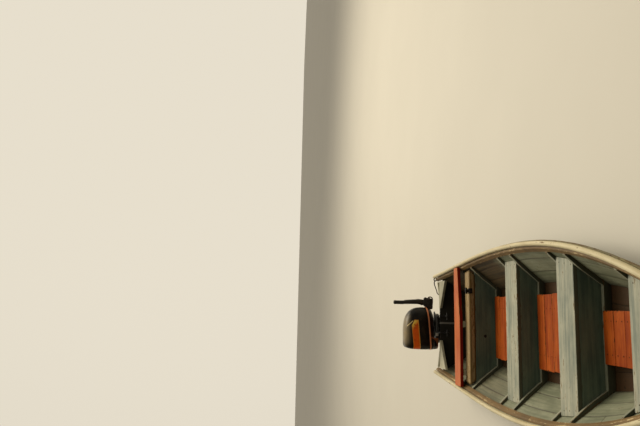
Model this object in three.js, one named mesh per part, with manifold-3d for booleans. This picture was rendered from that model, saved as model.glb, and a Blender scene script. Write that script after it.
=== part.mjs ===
// Open wooden river boat, flat bottomed with flaring planked sides, and a tiller outboard on its transom.
// Millimetres. +X is port, +Y is aft, +Z is up, and z = 0 is the waterline.
// The outboard stands turned hard over to port, with its tiller folded up.
import * as THREE from "three";
import { mergeVertices } from "three/addons/utils/BufferGeometryUtils.js";
import Module from "manifold-3d";

const wasm = await Module();
wasm.setup();

// Driving dimensions of the hull
const RAIL_LENGTH = 4720; // from the rail ends past the transom to the bow
const CHINE_START = 80; // the chine's own start and end, as distances forward of the rail ends
const CHINE_END = 4330;
const TRANSOM_AT = 0.0212; // how far along the hull the transom's aft face stands, 0 to 1
const UPPER_BUTT = 0.699; // where the two lengths of an upper plank meet, on the same scale
const RAIL_JOINT = 2300; // where the two lengths of a wale or an inwale meet
const SIDE_PLANK = 22; // measured across the boat
const BOTTOM_PLANK = 22;
const SEAM = 0.4; // left between pieces that touch
const FIT = 1.5; // left beside the curved planking
const FACETS = 44; // sections along each long plank

// Half breadths and heights at eleven stations, evenly spaced from stern to bow
const HULL_LINES = [
  { sheerHalf: 510, sheerZ: 304, chineHalf: 292, keelZ: -78 },
  { sheerHalf: 557, sheerZ: 278, chineHalf: 326, keelZ: -80 },
  { sheerHalf: 603, sheerZ: 259, chineHalf: 358, keelZ: -80 },
  { sheerHalf: 637, sheerZ: 249, chineHalf: 380, keelZ: -80 },
  { sheerHalf: 649, sheerZ: 246, chineHalf: 389, keelZ: -80 },
  { sheerHalf: 633, sheerZ: 251, chineHalf: 387, keelZ: -80 },
  { sheerHalf: 584, sheerZ: 264, chineHalf: 368, keelZ: -79 },
  { sheerHalf: 497, sheerZ: 286, chineHalf: 325, keelZ: -75 },
  { sheerHalf: 370, sheerZ: 315, chineHalf: 255, keelZ: -65 },
  { sheerHalf: 205, sheerZ: 352, chineHalf: 158, keelZ: -45 },
  { sheerHalf: 36, sheerZ: 397, chineHalf: 36, keelZ: -10 },
];

// Gunwale pieces: a rounded cap on the plank's edge, a wale outside it and an inwale inside it
const CAP = { width: 34, height: 26, outboard: 7 };
const WALE = { width: 26, height: 38, drop: 8 };
const INWALE = { width: 26, height: 36, drop: 5 };

// Seats, each between a pair of frames, with a bulkhead board against the forward frame
const FRAME = { siding: 34, moulding: 36, floorHeight: 60 };
const BULKHEAD = 16;
const SEATS = [
  { name: "aft", aftFrame: 742, foreFrame: 983, from: 838, top: 235, thick: 55, endGap: 45 },
  { name: "second", aftFrame: 1650, foreFrame: 1928, from: 1688, top: 157, thick: 28, endGap: 6 },
  { name: "third", aftFrame: 2618, foreFrame: 2892, from: 2656, top: 171, thick: 28, endGap: 6 },
  { name: "fourth", aftFrame: 3535, foreFrame: 3812, from: 3573, top: 214, thick: 28, endGap: 6 },
];
const BOW_FRAME = 4130;

// Loose floor panels of boards laid across, one to each bay
const FLOOR_BOARD = { thick: 18, topZ: 12, gap: 3, bearerWidth: 45 };
const FLOOR_PANELS = [
  { name: "aft", from: 1026, to: 1642, half: 275, boards: 5 },
  { name: "middle", from: 1970, to: 2610, half: 278, boards: 5 },
  { name: "fore", from: 2934, to: 3528, half: 160, boards: 5 },
];

// Stern pieces
const TRANSOM = { thick: 30, cornerZ: 310, centreZ: 285, cornerHalf: 438, centreHalf: 230 };
const KNEE = { topZ: 297, thick: 25, tip: 165, alongRail: 360, hollowX: 345, hollowS: 285 };
const CROSSBAR = { aft: 685, fore: 860, bend: 60, forePort: 795, thick: 30 };
const POSTS = [{ x: -417 }, { x: 20 }];

// Outboard, in millimetres from its steering axis where no place in the boat is meant
const STEER_S = -20; // steering axis, forward of the rail ends
const STEER_TURN = 90; // degrees to port, as it stands
const TILT = { s: 105, z: 312, tube: 11 };
const COWL = { front: -174, rear: 267, topZ: 646, half: 140, splitRearZ: 393, splitFrontZ: 416 };
const LEG = { behind: 125, plateZ: -108, propZ: -255, skegZ: -385 };
const PROP = { radius: 117, blades: 3, hub: 34, behind: 300 };
const TILLER = { ahead: 222, z: 405, length: 350, knuckle: 34, grip: 118 };

// Boat frame: s runs forward from the rail ends
const yAt = (s) => RAIL_LENGTH / 2 - s;
const lerp = (a, b, t) => a + (b - a) * t;

const lineNames = ["sheerHalf", "sheerZ", "chineHalf", "keelZ"];
const lineCurve = new THREE.CubicInterpolant(
  HULL_LINES.map((_, i) => i / (HULL_LINES.length - 1)),
  HULL_LINES.flatMap((row) => lineNames.map((name) => row[name])),
  lineNames.length,
  new Array(lineNames.length),
);

// The hull's lines at a place along it, 0 at the rail ends and 1 at the stem
function linesAt(u) {
  const value = lineCurve.evaluate(THREE.MathUtils.clamp(u, 0, 1));
  return { sheerHalf: value[0], sheerZ: value[1], chineHalf: value[2], keelZ: value[3] };
}

// A point of the planking's outer face: up runs from 0 at the chine to 1 at the sheer
function sidePoint(u, up) {
  const line = linesAt(u);
  const chineS = lerp(CHINE_START, CHINE_END, u);
  return {
    x: lerp(line.chineHalf, line.sheerHalf, up),
    s: lerp(chineS, RAIL_LENGTH * u, up),
    z: lerp(line.keelZ + BOTTOM_PLANK, line.sheerZ, up),
  };
}

// Half the width inside the planking at a distance s and a height z
function insideHalf(s, z) {
  let u = s / RAIL_LENGTH;
  let up = 0.5;
  for (let turn = 0; turn < 8; turn += 1) {
    const line = linesAt(u);
    up = (z - line.keelZ - BOTTOM_PLANK) / (line.sheerZ - line.keelZ - BOTTOM_PLANK);
    const start = lerp(CHINE_START, 0, up);
    const end = lerp(CHINE_END, RAIL_LENGTH, up);
    u = (s - start) / (end - start);
  }
  const line = linesAt(u);
  return lerp(line.chineHalf, line.sheerHalf, up) - SIDE_PLANK;
}

const sheerAt = (s) => linesAt(s / RAIL_LENGTH).sheerZ;
const sheerHalfAt = (s) => linesAt(s / RAIL_LENGTH).sheerHalf;
const floorAt = (s) => linesAt((s - CHINE_START) / (CHINE_END - CHINE_START)).keelZ + BOTTOM_PLANK;

// The transom's aft face leans aft with height
function transomS(z) {
  const foot = sidePoint(TRANSOM_AT, 0);
  const head = sidePoint(TRANSOM_AT, 1);
  return lerp(foot.s, head.s, (z - foot.z) / (head.z - foot.z));
}

// Turns a geometry's faces outwards if its volume comes out negative
function facingOut(geometry) {
  const p = geometry.attributes.position;
  const index = geometry.index.array;
  const [a, b, c] = [new THREE.Vector3(), new THREE.Vector3(), new THREE.Vector3()];
  let volume = 0;
  for (let i = 0; i < index.length; i += 3) {
    a.fromBufferAttribute(p, index[i]);
    b.fromBufferAttribute(p, index[i + 1]);
    c.fromBufferAttribute(p, index[i + 2]);
    volume += a.dot(b.cross(c));
  }
  if (volume < 0) {
    for (let i = 0; i < index.length; i += 3) {
      [index[i + 1], index[i + 2]] = [index[i + 2], index[i + 1]];
    }
  }
  return geometry;
}

// A closed solid through sections with equal counts of [x, y, z] points; flat names the cap's two axes
function loft(sections, flat = [0, 2]) {
  const count = sections[0].length;
  const triangles = [];
  for (let i = 0; i + 1 < sections.length; i += 1) {
    for (let j = 0; j < count; j += 1) {
      const next = (j + 1) % count;
      const [a, b] = [i * count + j, i * count + next];
      triangles.push(a, b, b + count, a, b + count, a + count);
    }
  }
  const outline = sections[0].map((point) => new THREE.Vector2(point[flat[0]], point[flat[1]]));
  const turned = THREE.ShapeUtils.isClockWise(outline);
  const last = (sections.length - 1) * count;
  const outlineUp = turned ? [...outline].reverse() : outline;
  const place = (k) => (turned ? count - 1 - k : k);
  for (const face of THREE.ShapeUtils.triangulateShape(outlineUp, [])) {
    const [a, b, c] = face.map(place);
    const [p, q, r] = turned ? [a, c, b] : [a, b, c];
    triangles.push(p, r, q, last + p, last + q, last + r);
  }
  const geometry = new THREE.BufferGeometry();
  geometry.setAttribute("position", new THREE.Float32BufferAttribute(sections.flat(2), 3));
  geometry.setIndex(triangles);
  return facingOut(geometry);
}

// A board or block that fits across the boat between its sides, from one place along it to another
function acrossBlock({ from, to, low, high, inset }, steps = 1) {
  const heights = Array.from({ length: steps + 1 }, (_, i) => lerp(low, high, i / steps));
  const sections = [from, to].map((s) => {
    const half = heights.map((z) => [insideHalf(s, z) - inset, yAt(s), z]);
    return [...half, ...half.map(([x, y, z]) => [-x, y, z]).reverse()];
  });
  return loft(sections);
}

// Joins and cuts with manifold-3d
function toManifold(geometry) {
  const bare = new THREE.BufferGeometry();
  bare.setAttribute("position", geometry.getAttribute("position"));
  bare.setIndex(geometry.index);
  const merged = mergeVertices(bare, 1e-3);
  const mesh = new wasm.Mesh({
    numProp: 3,
    vertProperties: new Float32Array(merged.attributes.position.array),
    triVerts: new Uint32Array(merged.index.array),
  });
  return new wasm.Manifold(mesh);
}

function fromManifold(solid) {
  const mesh = solid.getMesh();
  const geometry = new THREE.BufferGeometry();
  geometry.setAttribute("position", new THREE.Float32BufferAttribute(mesh.vertProperties, 3));
  geometry.setIndex(new THREE.BufferAttribute(mesh.triVerts, 1));
  return geometry;
}

const joined = (...pieces) => fromManifold(wasm.Manifold.union(pieces.map(toManifold)));

function cut(piece, ...tools) {
  return fromManifold(toManifold(piece).subtract(wasm.Manifold.union(tools.map(toManifold))));
}

// Plain shapes, placed
function box(x0, x1, y0, y1, z0, z1) {
  const shape = new THREE.BoxGeometry(x1 - x0, y1 - y0, z1 - z0);
  return shape.translate((x0 + x1) / 2, (y0 + y1) / 2, (z0 + z1) / 2);
}

function rod(axis, radius, from, to, sides = 20) {
  const shape = new THREE.CylinderGeometry(radius, radius, to - from, sides);
  shape.translate(0, (from + to) / 2, 0);
  if (axis === "x") shape.rotateZ(-Math.PI / 2);
  if (axis === "z") shape.rotateX(Math.PI / 2);
  return shape;
}

// A flat outline in the y-z plane, given thickness along x
function plateAcross(points, x0, x1) {
  return loft([x0, x1].map((x) => points.map(([y, z]) => [x, y, z])), [1, 2]);
}

const MATERIALS = {
  inside: { color: 0x8f9787, roughness: 0.8, metalness: 0 },
  outside: { color: 0x4f6a4e, roughness: 0.75, metalness: 0 },
  lower: { color: 0x7a3a2a, roughness: 0.75, metalness: 0 },
  cap: { color: 0xd9cfb2, roughness: 0.65, metalness: 0 },
  wale: { color: 0x7a7247, roughness: 0.75, metalness: 0 },
  bare: { color: 0x9a8a68, roughness: 0.85, metalness: 0 },
  red: { color: 0xb9603c, roughness: 0.75, metalness: 0 },
  floor: { color: 0xa9502a, roughness: 0.75, metalness: 0 },
  cowl: { color: 0x1c1b1a, roughness: 0.35, metalness: 0 },
  metal: { color: 0x6f7275, roughness: 0.45, metalness: 0.8 },
  casing: { color: 0x3a3c3f, roughness: 0.45, metalness: 0.2 },
  rubber: { color: 0x1a1a1a, roughness: 0.8, metalness: 0 },
};

const group = new THREE.Group();

function add(name, geometry, look, parent = group) {
  const mesh = new THREE.Mesh(geometry, new THREE.MeshStandardMaterial(MATERIALS[look]));
  mesh.name = name;
  parent.add(mesh);
  return mesh;
}

const mirrored = (sections) => sections.map((section) => section.map(([x, y, z]) => [-x, y, z]));

function addPair(name, sections, look, flat = [0, 2]) {
  add(name + "_port", loft(sections, flat), look);
  add(name + "_starboard", loft(mirrored(sections), flat), look);
}

// Side planks; the upper ones are two lengths butted behind the third seat's aft frame
const STRAKES = [
  { name: "lower_plank", low: 0, high: 0.32, from: TRANSOM_AT, to: 1, look: "lower" },
  { name: "middle_plank", low: 0.32, high: 0.66, from: TRANSOM_AT, to: 1, look: "outside" },
  { name: "aft_upper_plank", low: 0.66, high: 1, from: TRANSOM_AT, to: UPPER_BUTT, look: "outside" },
  { name: "fore_upper_plank", low: 0.66, high: 1, from: UPPER_BUTT + 0.0001, to: 1, look: "outside" },
];
for (const { name, low, high, from, to, look } of STRAKES) {
  const sections = [];
  const steps = Math.round(FACETS * (to - from));
  for (let i = 0; i <= steps; i += 1) {
    const u = lerp(from, to, i / steps);
    const [foot, head] = [sidePoint(u, low), sidePoint(u, high)];
    const lift = low > 0 ? SEAM : 0;
    sections.push([
      [foot.x, yAt(foot.s), foot.z + lift],
      [head.x, yAt(head.s), head.z],
      [head.x - SIDE_PLANK, yAt(head.s), head.z],
      [foot.x - SIDE_PLANK, yAt(foot.s), foot.z + lift],
    ]);
  }
  addPair(name, sections, look);
}

// Bottom planking, under the side planks' lower edges
const bottom = [];
for (let i = 0; i <= FACETS; i += 1) {
  const u = lerp(TRANSOM_AT, 1, i / FACETS);
  const line = linesAt(u);
  const y = yAt(lerp(CHINE_START, CHINE_END, u));
  const top = line.keelZ + BOTTOM_PLANK - SEAM;
  bottom.push([
    [line.chineHalf, y, line.keelZ],
    [line.chineHalf, y, top],
    [-line.chineHalf, y, top],
    [-line.chineHalf, y, line.keelZ],
  ]);
}
add("bottom_planking", loft(bottom), "bare");

// Gunwale rails, past the transom at the stern; those below the sheer follow the planking's lean
function railSections(from, to, outline) {
  const sections = [];
  const steps = Math.round((FACETS * (to - from)) / RAIL_LENGTH);
  for (let i = 0; i <= steps; i += 1) {
    const s = lerp(from, to, i / steps);
    const top = sheerAt(s);
    const faceAt = (z) => (z < 0 ? insideHalf(s, top + z) + SIDE_PLANK : sheerHalfAt(s));
    sections.push(outline.map(([x, z]) => [faceAt(z) + x, yAt(s), top + z]));
  }
  return sections;
}
const capRound = [0, 30, 60, 90, 120, 150, 180].map((degrees) => {
  const angle = THREE.MathUtils.degToRad(degrees);
  const middle = CAP.outboard - CAP.width / 2;
  return [middle + (Math.cos(angle) * CAP.width) / 2, 9 + Math.sin(angle) * (CAP.height - 9)];
});
const capOutline = [
  [CAP.outboard, SEAM],
  ...capRound,
  [CAP.outboard - CAP.width, SEAM],
];
addPair("cap_rail", railSections(0, RAIL_LENGTH, capOutline), "cap");
const waleOutline = [
  [FIT - 0.6, -WALE.drop - WALE.height],
  [WALE.width, -WALE.drop - WALE.height],
  [WALE.width + 6, -WALE.drop - WALE.height + 8],
  [WALE.width, -WALE.drop - 6],
  [WALE.width - 6, -WALE.drop],
  [FIT - 0.6, -WALE.drop],
];
const inwaleX = -SIDE_PLANK - FIT + 0.6;
const inwaleOutline = [
  [inwaleX, -INWALE.drop - INWALE.height],
  [inwaleX, -INWALE.drop],
  [inwaleX - INWALE.width, -INWALE.drop],
  [inwaleX - INWALE.width, -INWALE.drop - INWALE.height],
];
addPair("aft_wale", railSections(0, RAIL_JOINT, waleOutline), "wale");
addPair("fore_wale", railSections(RAIL_JOINT + SEAM, RAIL_LENGTH - 30, waleOutline), "wale");
addPair("aft_inwale", railSections(0, RAIL_JOINT, inwaleOutline), "bare");
addPair("fore_inwale", railSections(RAIL_JOINT + SEAM, BOW_FRAME + 36, inwaleOutline), "bare");

// Frames: a floor timber across the bottom and a rib up each side, in one
function frameSection(s, top) {
  const floor = floorAt(s) + SEAM;
  const timber = floor + FRAME.floorHeight;
  const heights = [0, 1, 2, 3, 4, 5].map((step) => lerp(floor, top, step / 5));
  const outer = heights.map((z) => [insideHalf(s, z) - FIT, z]);
  const inner = [top, timber].map((z) => [insideHalf(s, z) - FIT - FRAME.moulding, z]);
  const half = [...outer, ...inner];
  return [
    ...half.map(([x, z]) => [x, yAt(s), z]),
    ...half.reverse().map(([x, z]) => [-x, yAt(s), z]),
  ];
}
function addFrame(name, s) {
  const top = Math.min(sheerAt(s), sheerAt(s + FRAME.siding)) - INWALE.drop - INWALE.height - 1;
  add(name, loft([s, s + FRAME.siding].map((place) => frameSection(place, top))), "inside");
}
for (const { name, aftFrame, foreFrame } of SEATS) {
  addFrame(name + "_seat_aft_frame", aftFrame);
  addFrame(name + "_seat_fore_frame", foreFrame);
}
addFrame("bow_frame", BOW_FRAME);

// Seats and the bulkhead boards that carry them
const barZ = sheerAt(CROSSBAR.aft) - INWALE.drop + SEAM;
for (const { name, foreFrame, from, top, thick, endGap } of SEATS) {
  const to = foreFrame - SEAM;
  const seat = acrossBlock({ from, to, low: top - thick, high: top, inset: endGap });
  const posts = POSTS.map(({ x }) => {
    return box(x - 30, x + 30, yAt(from + 18), yAt(from), top - 5, barZ - SEAM);
  });
  add(name + "_seat", name === "aft" ? joined(seat, ...posts) : seat, name === "aft" ? "cap" : "inside");
  const low = floorAt(foreFrame) + 2 * SEAM;
  const board = { from: to - BULKHEAD, to, low, high: top - thick - SEAM, inset: FIT };
  add(name + "_bulkhead", acrossBlock(board, 6), "inside");
}

// Floor panels: boards laid across on two bearers
for (const { name, from, to, half, boards } of FLOOR_PANELS) {
  const under = Math.max(floorAt(from), floorAt(to)) + SEAM;
  const boardZ = FLOOR_BOARD.topZ - FLOOR_BOARD.thick;
  const pitch = (to - from + FLOOR_BOARD.gap) / boards;
  const pieces = [];
  for (let i = 0; i < boards; i += 1) {
    const start = from + i * pitch;
    const end = start + pitch - FLOOR_BOARD.gap;
    pieces.push(box(-half, half, yAt(end), yAt(start), boardZ, FLOOR_BOARD.topZ));
  }
  for (const side of [-1, 1]) {
    const x = side * half * 0.62;
    const wide = FLOOR_BOARD.bearerWidth / 2;
    pieces.push(box(x - wide, x + wide, yAt(to - 4), yAt(from + 4), under, boardZ + 2));
  }
  add(name + "_floor_panel", joined(...pieces), "floor");
}

// Transom, leaning aft, notched under the inwales and dipped in the middle for the outboard
const notchZ = sheerAt(110) - INWALE.drop - INWALE.height - 2;
const footZ = floorAt(170) + SEAM;
const transomHalf = [
  { x: null, z: footZ },
  { x: null, z: notchZ },
  { x: TRANSOM.cornerHalf, z: notchZ },
  { x: TRANSOM.cornerHalf, z: TRANSOM.cornerZ },
  { x: TRANSOM.centreHalf, z: TRANSOM.centreZ },
];
const transomSections = [0, TRANSOM.thick].map((deep) => {
  const half = transomHalf.map(({ x, z }) => {
    const s = transomS(z) + deep;
    return [x ?? insideHalf(s, z) - FIT, yAt(s), z];
  });
  return [...half, ...half.map(([x, y, z]) => [-x, y, z]).reverse()];
});
add("transom", loft(transomSections), "inside");

// Stem: a post that closes the plank ends, raked forward
const STEM = { forward: 52, tongue: 60, nose: 12, rise: 34 };
const stemFoot = sidePoint(1, 0);
const stemHead = sidePoint(1, 1);
function stemY(z) {
  const up = Math.max(0, (z - stemFoot.z) / (stemHead.z - stemFoot.z));
  return yAt(lerp(stemFoot.s, stemHead.s, up)) - SEAM;
}
function stemPart(heights, plan) {
  return loft(heights.map((z) => plan.map(([x, ahead]) => [x, stemY(z) - ahead, z])), [0, 1]);
}
const stemFace = [
  [stemFoot.x, 0],
  [STEM.nose, STEM.forward],
  [-STEM.nose, STEM.forward],
  [-stemFoot.x, 0],
];
const tongueHalf = stemFoot.x - SIDE_PLANK - FIT;
const tonguePlan = [
  [tongueHalf, 2],
  [-tongueHalf, 2],
  [-tongueHalf, -STEM.tongue],
  [tongueHalf, -STEM.tongue],
];
const stemBody = stemPart([stemFoot.z - BOTTOM_PLANK, stemFoot.z, stemHead.z + STEM.rise], stemFace);
add("stem", joined(stemBody, stemPart([stemFoot.z + 12, stemHead.z - 2], tonguePlan)), "cap");

// Small foredeck between the planks at the bow
const foredeckS = [BOW_FRAME + 36 + SEAM, 4260, 4380, 4500, 4600];
const foredeckSections = foredeckS.map((s) => {
  const top = sheerAt(s) - 4;
  const low = top - 20;
  const [wide, narrow] = [top, low].map((z) => insideHalf(s, z) - FIT - 0.6);
  return [
    [wide, yAt(s), top],
    [narrow, yAt(s), low],
    [-narrow, yAt(s), low],
    [-wide, yAt(s), top],
  ];
});
add("foredeck", loft(foredeckSections), "inside");

// Quarter knees in the corners of the stern, each with a hollow forward edge
for (const [side, sign] of [["port", 1], ["starboard", -1]]) {
  const aft = transomS(KNEE.topZ - KNEE.thick) + TRANSOM.thick + SEAM;
  const railX = (s) => insideHalf(s, KNEE.topZ - KNEE.thick) - INWALE.width - 14;
  const shape = new THREE.Shape();
  shape.moveTo(KNEE.tip, -yAt(aft));
  shape.lineTo(railX(aft), -yAt(aft));
  shape.lineTo(railX(aft), -yAt(KNEE.alongRail));
  shape.quadraticCurveTo(KNEE.hollowX, -yAt(KNEE.hollowS), KNEE.tip, -yAt(aft + 34));
  const knee = new THREE.ExtrudeGeometry(shape, { depth: KNEE.thick, bevelEnabled: false, curveSegments: 8 });
  knee.scale(sign, -1, 1);
  knee.translate(0, 0, KNEE.topZ - KNEE.thick);
  const merged = mergeVertices(new THREE.BufferGeometry().setAttribute("position", knee.attributes.position));
  add("quarter_knee_" + side, facingOut(merged), "inside");
}

// Crossbar plank on the inwales, narrower to port
const barHalf = sheerHalfAt(CROSSBAR.aft) + CAP.outboard - CAP.width - 1.5;
const barPlan = [
  [-barHalf, CROSSBAR.aft],
  [barHalf, CROSSBAR.aft],
  [barHalf, CROSSBAR.forePort],
  [CROSSBAR.bend, CROSSBAR.fore],
  [-barHalf, CROSSBAR.fore],
];
const barSections = [barZ, barZ + CROSSBAR.thick].map((z) => barPlan.map(([x, s]) => [x, yAt(s), z]));
add("crossbar", loft(barSections, [0, 1]), "red");

// Outboard clamp bracket: two hooked side plates, the tilt tube and the clamp screws
const steerY = yAt(STEER_S);
const tiltY = yAt(TILT.s);
const clampOutline = [
  [88, TILT.z + 14],
  [172, TILT.z + 14],
  [192, TILT.z - 8],
  [192, 205],
  [168, 205],
  [168, TRANSOM.centreZ + 6],
  [transomS(TRANSOM.centreZ + 6) - SEAM, TRANSOM.centreZ + 6],
  [transomS(95) - SEAM, 95],
  [transomS(95) - 36, 95],
  [transomS(230) - 44, 230],
  [70, TILT.z - 10],
].map(([s, z]) => [yAt(s), z]);
const clampPieces = [
  plateAcross(clampOutline, 80, 92),
  plateAcross(clampOutline, -92, -80),
  rod("x", TILT.tube, -108, 108).translate(0, tiltY, TILT.z),
  rod("x", 7, -90, 90, 12).translate(0, yAt(transomS(120) - 20), 120),
];
for (const x of [-86, 86]) {
  const pad = transomS(240) + TRANSOM.thick + SEAM + 3;
  clampPieces.push(rod("y", 6, yAt(232), yAt(pad), 12).translate(x, 0, 240));
  clampPieces.push(rod("y", 15, yAt(pad + 8), yAt(pad), 16).translate(x, 0, 240));
  clampPieces.push(rod("x", 5, x - 34, x + 34, 10).translate(0, yAt(228), 240));
}
add("clamp_bracket", joined(...clampPieces), "metal");

// Swivel bracket: lugs on the tilt tube, arms over the transom and the steering tube
const PIVOT_PLAY = 0.7; // round a pin or a shaft
const STEER_SHAFT = 13;
const swivelTop = TILT.z + 6;
const swivelBottom = 100;
const swivelSolid = joined(
  box(-56, 56, tiltY, steerY, TILT.z - 12, swivelTop),
  rod("x", 18, -56, 56).translate(0, tiltY, TILT.z),
  rod("z", 30, swivelBottom, swivelTop).translate(0, steerY, 0),
  box(-14, 14, steerY - 60, steerY, 200, TILT.z - 8),
);
const swivelHoles = [
  rod("x", TILT.tube + PIVOT_PLAY, -60, 60).translate(0, tiltY, TILT.z),
  rod("z", STEER_SHAFT + PIVOT_PLAY, swivelBottom - 5, swivelTop + 5).translate(0, steerY, 0),
  box(-20, 20, tiltY - 30, tiltY + 30, TILT.z - 40, TILT.z + 40),
];
add("swivel_bracket", cut(swivelSolid, ...swivelHoles), "metal");

// What steers: built straight ahead about the steering axis, then turned
const motor = new THREE.Group();
motor.position.set(0, steerY, 0);
motor.rotation.z = THREE.MathUtils.degToRad(STEER_TURN);
group.add(motor);

// One level of the cowl: square behind, round in front
function cowlLevel(front, rear, half, z) {
  const points = [];
  const corner = Math.min(55, half * 0.45);
  for (const degrees of [0, 30, 60, 90]) {
    const angle = THREE.MathUtils.degToRad(degrees);
    points.push([half - corner + corner * Math.cos(angle), rear - corner + corner * Math.sin(angle)]);
  }
  const shoulder = lerp(front, rear, 0.42);
  const nose = [];
  for (const degrees of [0, 18, 36, 54, 72, 90]) {
    const angle = THREE.MathUtils.degToRad(degrees);
    nose.push([half * Math.cos(angle) ** 0.8, shoulder + (front - shoulder) * Math.sin(angle)]);
  }
  const right = [...nose.slice(0, 5).reverse(), ...points];
  const left = right.map(([x, y]) => [-x, y]).reverse();
  return [...right, ...left, [0, front]].map(([x, y]) => [x, y, z(y)]);
}
const splitZ = (y) => lerp(COWL.splitRearZ, COWL.splitFrontZ, (COWL.rear - y) / (COWL.rear - COWL.front));
const atZ = (height) => () => height;
const COWL_LEVELS = [
  { front: -174, rear: 267, half: 132, z: (y) => splitZ(y) + 0.5 },
  { front: -174, rear: 267, half: 140, z: atZ(452) },
  { front: -169, rear: 266, half: 138, z: atZ(510) },
  { front: -152, rear: 264, half: 132, z: atZ(558) },
  { front: -120, rear: 260, half: 120, z: atZ(598) },
  { front: -72, rear: 250, half: 98, z: atZ(628) },
  { front: -20, rear: 224, half: 66, z: atZ(644) },
];
const cowlOuter = COWL_LEVELS.map(({ front, rear, half, z }) => cowlLevel(front, rear, half, z));
const COWL_WALL = 5;
const cowlInner = COWL_LEVELS.slice(0, 6).map(({ front, rear, half, z }, i) => {
  const height = i === 0 ? (y) => splitZ(y) - 10 : (y) => z(y) - (i === 5 ? COWL_WALL : 0);
  return cowlLevel(front + COWL_WALL, rear - COWL_WALL, half - COWL_WALL - (i === 5 ? 6 : 0), height);
});
add("upper_cowl", cut(loft(cowlOuter, [0, 1]), loft(cowlInner, [0, 1])), "cowl", motor);

// Engine, one plain block inside the cowl
add("engine_block", box(-85, 85, -90, 205, splitZ(-90) + SEAM, 575), "casing", motor);

// Lower cowl, a tray that is deeper behind the leg
const LOWER_LEVELS = [
  { front: -96, rear: 240, half: 92, z: atZ(337) },
  { front: -160, rear: 263, half: 118, z: (y) => splitZ(y) - 34 },
  { front: -172, rear: 267, half: 132, z: splitZ },
];
const lowerSections = LOWER_LEVELS.map(({ front, rear, half, z }) => cowlLevel(front, rear, half, z));
const lowerRear = [
  { half: 80, rear: 250, z: 306 },
  { half: 104, rear: 261, z: 352 },
].map(({ half, rear, z }) => [
  [-half, 146, z],
  [half, 146, z],
  [half, rear - 30, z],
  [half - 30, rear, z],
  [30 - half, rear, z],
  [-half, rear - 30, z],
]);
const lowerCowl = joined(loft(lowerSections, [0, 1]), loft(lowerRear, [0, 1]));
add("lower_cowl", lowerCowl, "cowl", motor);

// Steering yoke: the shaft in the swivel tube, and the arms back to the leg
const yoke = joined(
  rod("z", STEER_SHAFT, 62, 334),
  box(-40, 40, -38, 70, 324.5, 336),
  box(-22, 22, -16, 84, 62, 88),
);
add("steering_yoke", yoke, "metal", motor);

// Leg: a streamlined casing from the lower cowl down to the water plate, behind the steering axis
function legLevel(front, rear, half, z) {
  const middle = (front + rear) / 2;
  const length = (rear - front) / 2;
  const points = [];
  for (let i = 0; i < 20; i += 1) {
    const angle = (i / 20) * Math.PI * 2;
    const along = Math.sin(angle);
    points.push([half * Math.cos(angle) * (1 - 0.25 * along), middle + length * along, z]);
  }
  return points;
}
const legSections = [
  legLevel(66, 205, 42, 305.6),
  legLevel(72, 196, 36, 230),
  legLevel(85, 184, 27, 60),
  legLevel(80, 190, 26, LEG.plateZ + SEAM),
];
const legTop = loft(legSections, [0, 1]);
add("leg", cut(legTop, box(-22.4, 22.4, -20, 84.4, 61.6, 88.4)), "casing", motor);

// Gearcase with its water plate and skeg
const plate = [
  [-78, 60, 0],
  [-84, 150, 0],
  [-62, 300, 0],
  [62, 300, 0],
  [84, 150, 0],
  [78, 60, 0],
  [30, 28, 0],
  [-30, 28, 0],
];
const plateSections = [LEG.plateZ - 5, LEG.plateZ].map((z) => plate.map(([x, y]) => [x, y, z]));
const lowerLeg = loft(
  [
    legLevel(78, 192, 25, LEG.plateZ - 4),
    legLevel(84, 188, 22, LEG.propZ + 20),
  ],
  [0, 1],
);
const torpedo = loft(
  [
    [45, 4],
    [55, 18],
    [75, 29],
    [105, 35],
    [180, 36],
    [230, 33],
    [258, 30],
  ].map(([y, radius]) => {
    const ring = [];
    for (let i = 0; i < 16; i += 1) {
      const angle = (i / 16) * Math.PI * 2;
      ring.push([radius * Math.cos(angle), y, LEG.propZ + radius * Math.sin(angle)]);
    }
    return ring;
  }),
);
const skeg = plateAcross(
  [
    [95, LEG.propZ - 20],
    [205, LEG.propZ - 20],
    [232, LEG.skegZ + 8],
    [205, LEG.skegZ],
    [170, LEG.skegZ + 26],
  ],
  -5,
  5,
);
const PROP_SHAFT = 9;
const propShaft = rod("y", PROP_SHAFT, 250, 340).translate(0, 0, LEG.propZ);
add("gearcase", joined(loft(plateSections, [0, 1]), lowerLeg, torpedo, skeg, propShaft), "casing", motor);

// Propeller on the shaft behind the gearcase
const propPieces = [rod("y", PROP.hub, 264, 330).translate(0, 0, LEG.propZ)];
for (let blade = 0; blade < PROP.blades; blade += 1) {
  const turn = (blade / PROP.blades) * Math.PI * 2;
  const sections = [
    { out: 20, chord: 26, pitch: 58 },
    { out: 55, chord: 40, pitch: 45 },
    { out: 85, chord: 42, pitch: 33 },
    { out: 108, chord: 28, pitch: 27 },
    { out: PROP.radius, chord: 10, pitch: 25 },
  ].map(({ out, chord, pitch }) => {
    const angle = THREE.MathUtils.degToRad(pitch);
    const [dx, dy] = [Math.cos(angle) * chord, Math.sin(angle) * chord];
    const thick = 3;
    const corners = [
      [-dx, -dy],
      [thick * Math.sin(angle), -thick * Math.cos(angle)],
      [dx, dy],
      [-thick * Math.sin(angle), thick * Math.cos(angle)],
    ];
    return corners.map(([x, y]) => [x, 296 + y, out]);
  });
  const bladeShape = loft(sections, [0, 1]);
  bladeShape.rotateY(turn);
  bladeShape.translate(0, 0, LEG.propZ);
  propPieces.push(bladeShape);
}
const propBore = rod("y", PROP_SHAFT + PIVOT_PLAY, 255, 345).translate(0, 0, LEG.propZ);
add("propeller", cut(joined(...propPieces), propBore), "casing", motor);

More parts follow.
